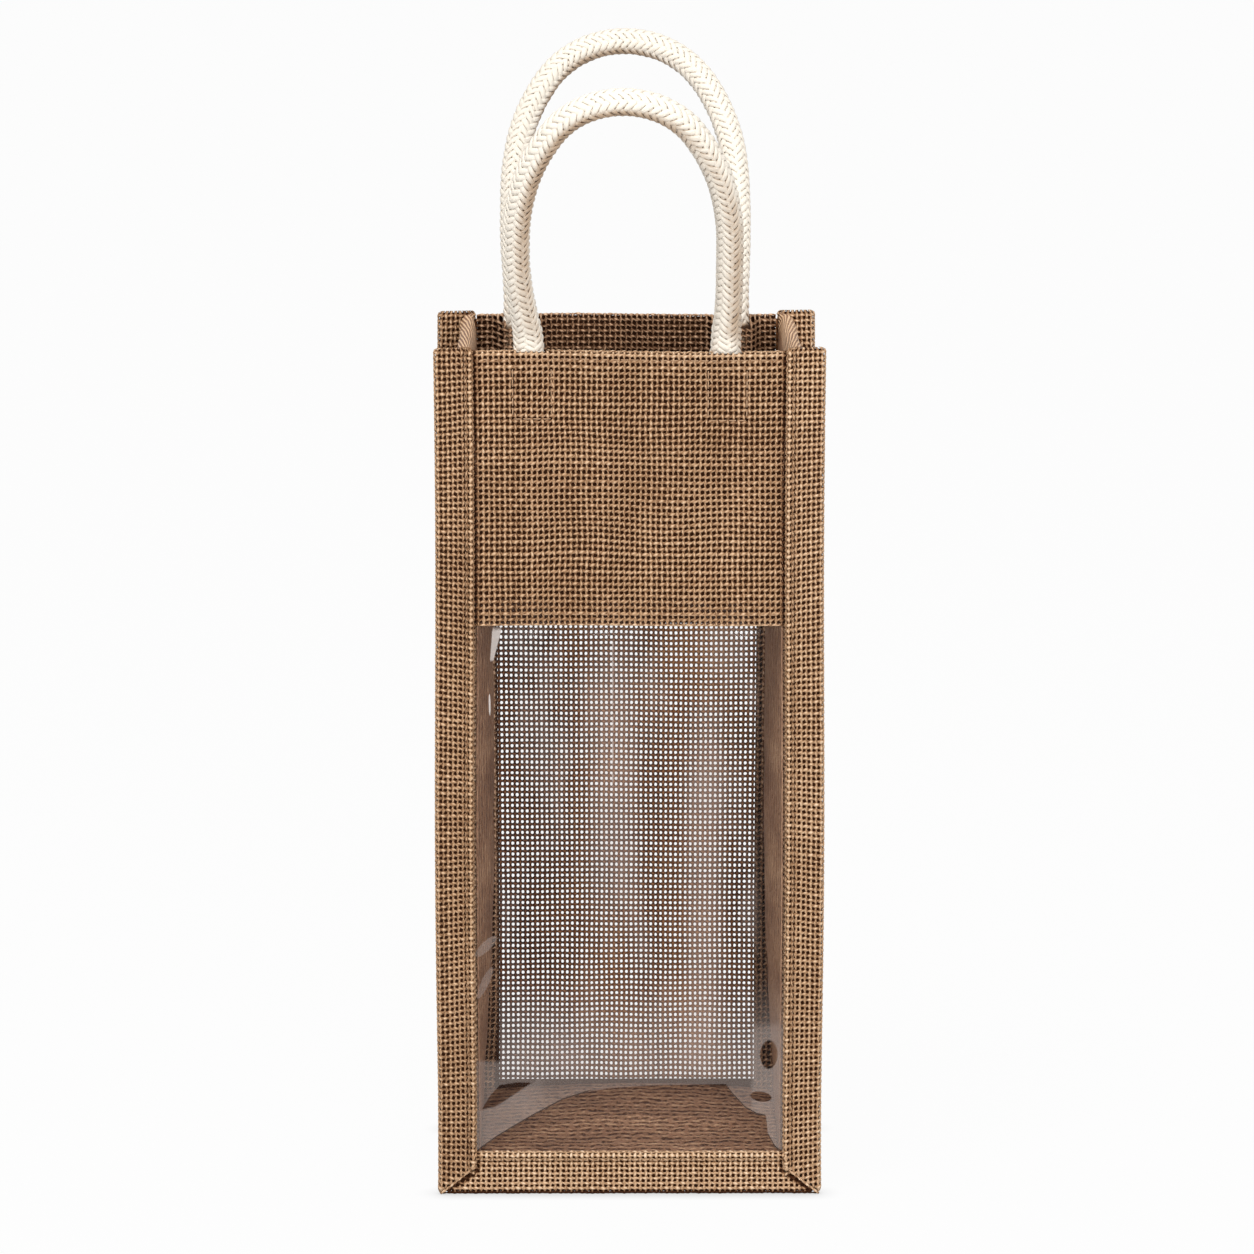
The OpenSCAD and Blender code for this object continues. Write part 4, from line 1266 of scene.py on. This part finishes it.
# %% Rows of stitches
def sewn(name, stitches, seed, replaces):
    """stitches lists (x0, z0, x1, z1, y, sy): both ends of each stitch and the face it lies on."""
    threads = Threads(5, seed)
    for stitch in stitches:
        threads.add(4, *stitch)
    share, c, n, (x0, z0, x1, z1, y, sy) = threads.gather()
    length = np.hypot(x1 - x0, z1 - z0)
    ax, az = (x1 - x0) / length, (z1 - z0) / length
    where = share * length
    lift = 0.62 * np.sin(np.pi * share) - 0.30
    x, z = x0 + ax * where + az * 0.28 * c, z0 + az * where - ax * 0.28 * c
    out = (y - lift - 0.26 * n) * sy
    # The crown 0.5 + 0.5 n paints the top of each stitch paler than its underside, as a highlight.
    piece = threads.finish(name, settle(x, out, z), (where + threads.thread * 9.1, c * 0.4, n * 0.4),
                           0.5 + 0.3 * threads.normal(), 0.5 + 0.5 * n, 4.0)
    return dress(piece, sewing, replaces=replaces)


def row(start, end, fixed, y, sy, upright, pitch=4.1, length=3.3):
    count = max(1, int((end - start) / pitch))
    first = (start + end - (count - 1) * pitch - length) / 2
    spots = [first + k * pitch for k in range(count)]
    if upright:
        return [(fixed, a, fixed, a + length, y, sy) for a in spots]
    return [(a, fixed, a + length, fixed, y, sy) for a in spots]


ON_STRIP, ON_BOX, ON_PANEL = -51.1, -50.85, -50.8
BOX_LOW, BOX_TOP, BOX_HALF, BOX_STITCH = 331.0, 353.0, 8, (4.0, 3.2)
for side, sy in (("front", 1), ("back", -1)):
    seam = [s for x in (-68.2, 68.2) for s in row(22, RIM - 1, x, ON_STRIP, sy, True)]
    seam += row(-62, 62, 14.6, ON_STRIP, sy, False)
    sewn(side + "_seam_row", seam, 71, [side + "_seam_stitches"])
    legs = []
    for c in (-LEG_X[side], LEG_X[side]):
        for z in (BOX_LOW, BOX_TOP):
            legs += row(c - BOX_HALF, c + BOX_HALF, z, ON_BOX, sy, False, *BOX_STITCH)
        for x in (c - BOX_HALF, c + BOX_HALF):
            legs += row(BOX_LOW, BOX_TOP, x, ON_BOX, sy, True, *BOX_STITCH)
    sewn(side + "_box_rows", legs, 72, [side + "_handle_stitches"])


def level(z, sy):
    return row(-63, 63, z, ON_PANEL, sy, False)


sewn("window_row", level(WINDOW + 5, 1), 73, ["window_stitches"])
hem_rows = level(RIM - 4, 1) + level(RIM - 4, -1) + level(RIM - HEM + 4, -1)
sewn("hem_rows", hem_rows, 74, ["hem_stitches"])

# %% [markdown]
# ## Light and background
# The photograph has soft, nearly shadowless studio light and a white background. The world lights
# evenly, a large lamp from the upper left gives form and a second one fills in from the front. Only rays
# that see the background, directly, mirrored or through the film, get its full white, so that it
# doesn't wash out the bag.

# %% Stage
def white_stage():
    finish = Finish("stage_white", Roughness=0.9, Base_Color=(0.6, 0.6, 0.6, 1))
    seen = finish.node("LightPath")
    # Painted contact shadow: the floor's white greys where ambient occlusion finds the bag close by.
    contact_shadow = finish.node("AmbientOcclusion", {"samples": 12}, {"Distance": 0.010}, out=1)
    white = finish.mix(contact_shadow, (0.55, 0.54, 0.53, 1), (1, 1, 1, 1))
    glow = finish.node("Emission", None, {"Color": white, "Strength": 1.0})
    mixed = finish.tree.nodes.new("ShaderNodeMixShader")
    plug(finish.tree, mixed.inputs[0], seen * 0.96)
    finish.tree.links.new(finish.shader.outputs[0], mixed.inputs[1])
    finish.tree.links.new(glow.out, mixed.inputs[2])
    finish.tree.links.new(mixed.outputs[0], finish.tree.nodes["Material Output"].inputs[0])
    return finish.material


ground = add_piece("ground", grid_mesh("ground", (1, 1), 6.0))
ground.data.materials.append(white_stage())

world = bpy.data.worlds.new("studio")
bpy.context.scene.world = world
world.use_nodes = True
sky = world.node_tree
paths = sky.nodes.new("ShaderNodeLightPath")
shown = Value(sky, paths.outputs[0]) + Value(sky, paths.outputs["Is Glossy Ray"])
shown = (shown + Value(sky, paths.outputs["Is Transmission Ray"])).clip()
plug(sky, sky.nodes["Background"].inputs["Strength"], shown * 0.54 + 0.46)
sky.nodes["Background"].inputs["Color"].default_value = (1, 1, 1, 1)


def lamp(name, place, aim, size, power):
    light = bpy.data.lights.new(name, "AREA")
    light.shape, light.size, light.size_y, light.energy = "RECTANGLE", size[0], size[1], power
    holder = bpy.data.objects.new(name, light)
    holder.location = place
    run = np.array(aim, float) - np.array(place, float)
    holder.rotation_euler = (math.acos(-run[2] / np.linalg.norm(run)), 0,
                             math.atan2(run[1], run[0]) - math.pi / 2)
    bpy.context.scene.collection.objects.link(holder)


lamp("key", (-0.5, -1.0, 2.2), (0, 0, 0.25), (1.0, 0.8), 25)
lamp("front", (0.5, -2.4, 0.9), (0, 0, 0.25), (0.9, 0.9), 33)
print("lamps:", len(bpy.data.lights))

# %% [markdown]
# ## Count the triangles
# The triangles of all the dressed pieces are counted and printed.

# %% Finish
total = sum(n for _, n in made)
print("triangles in all:", total, "in", len(made), "pieces")
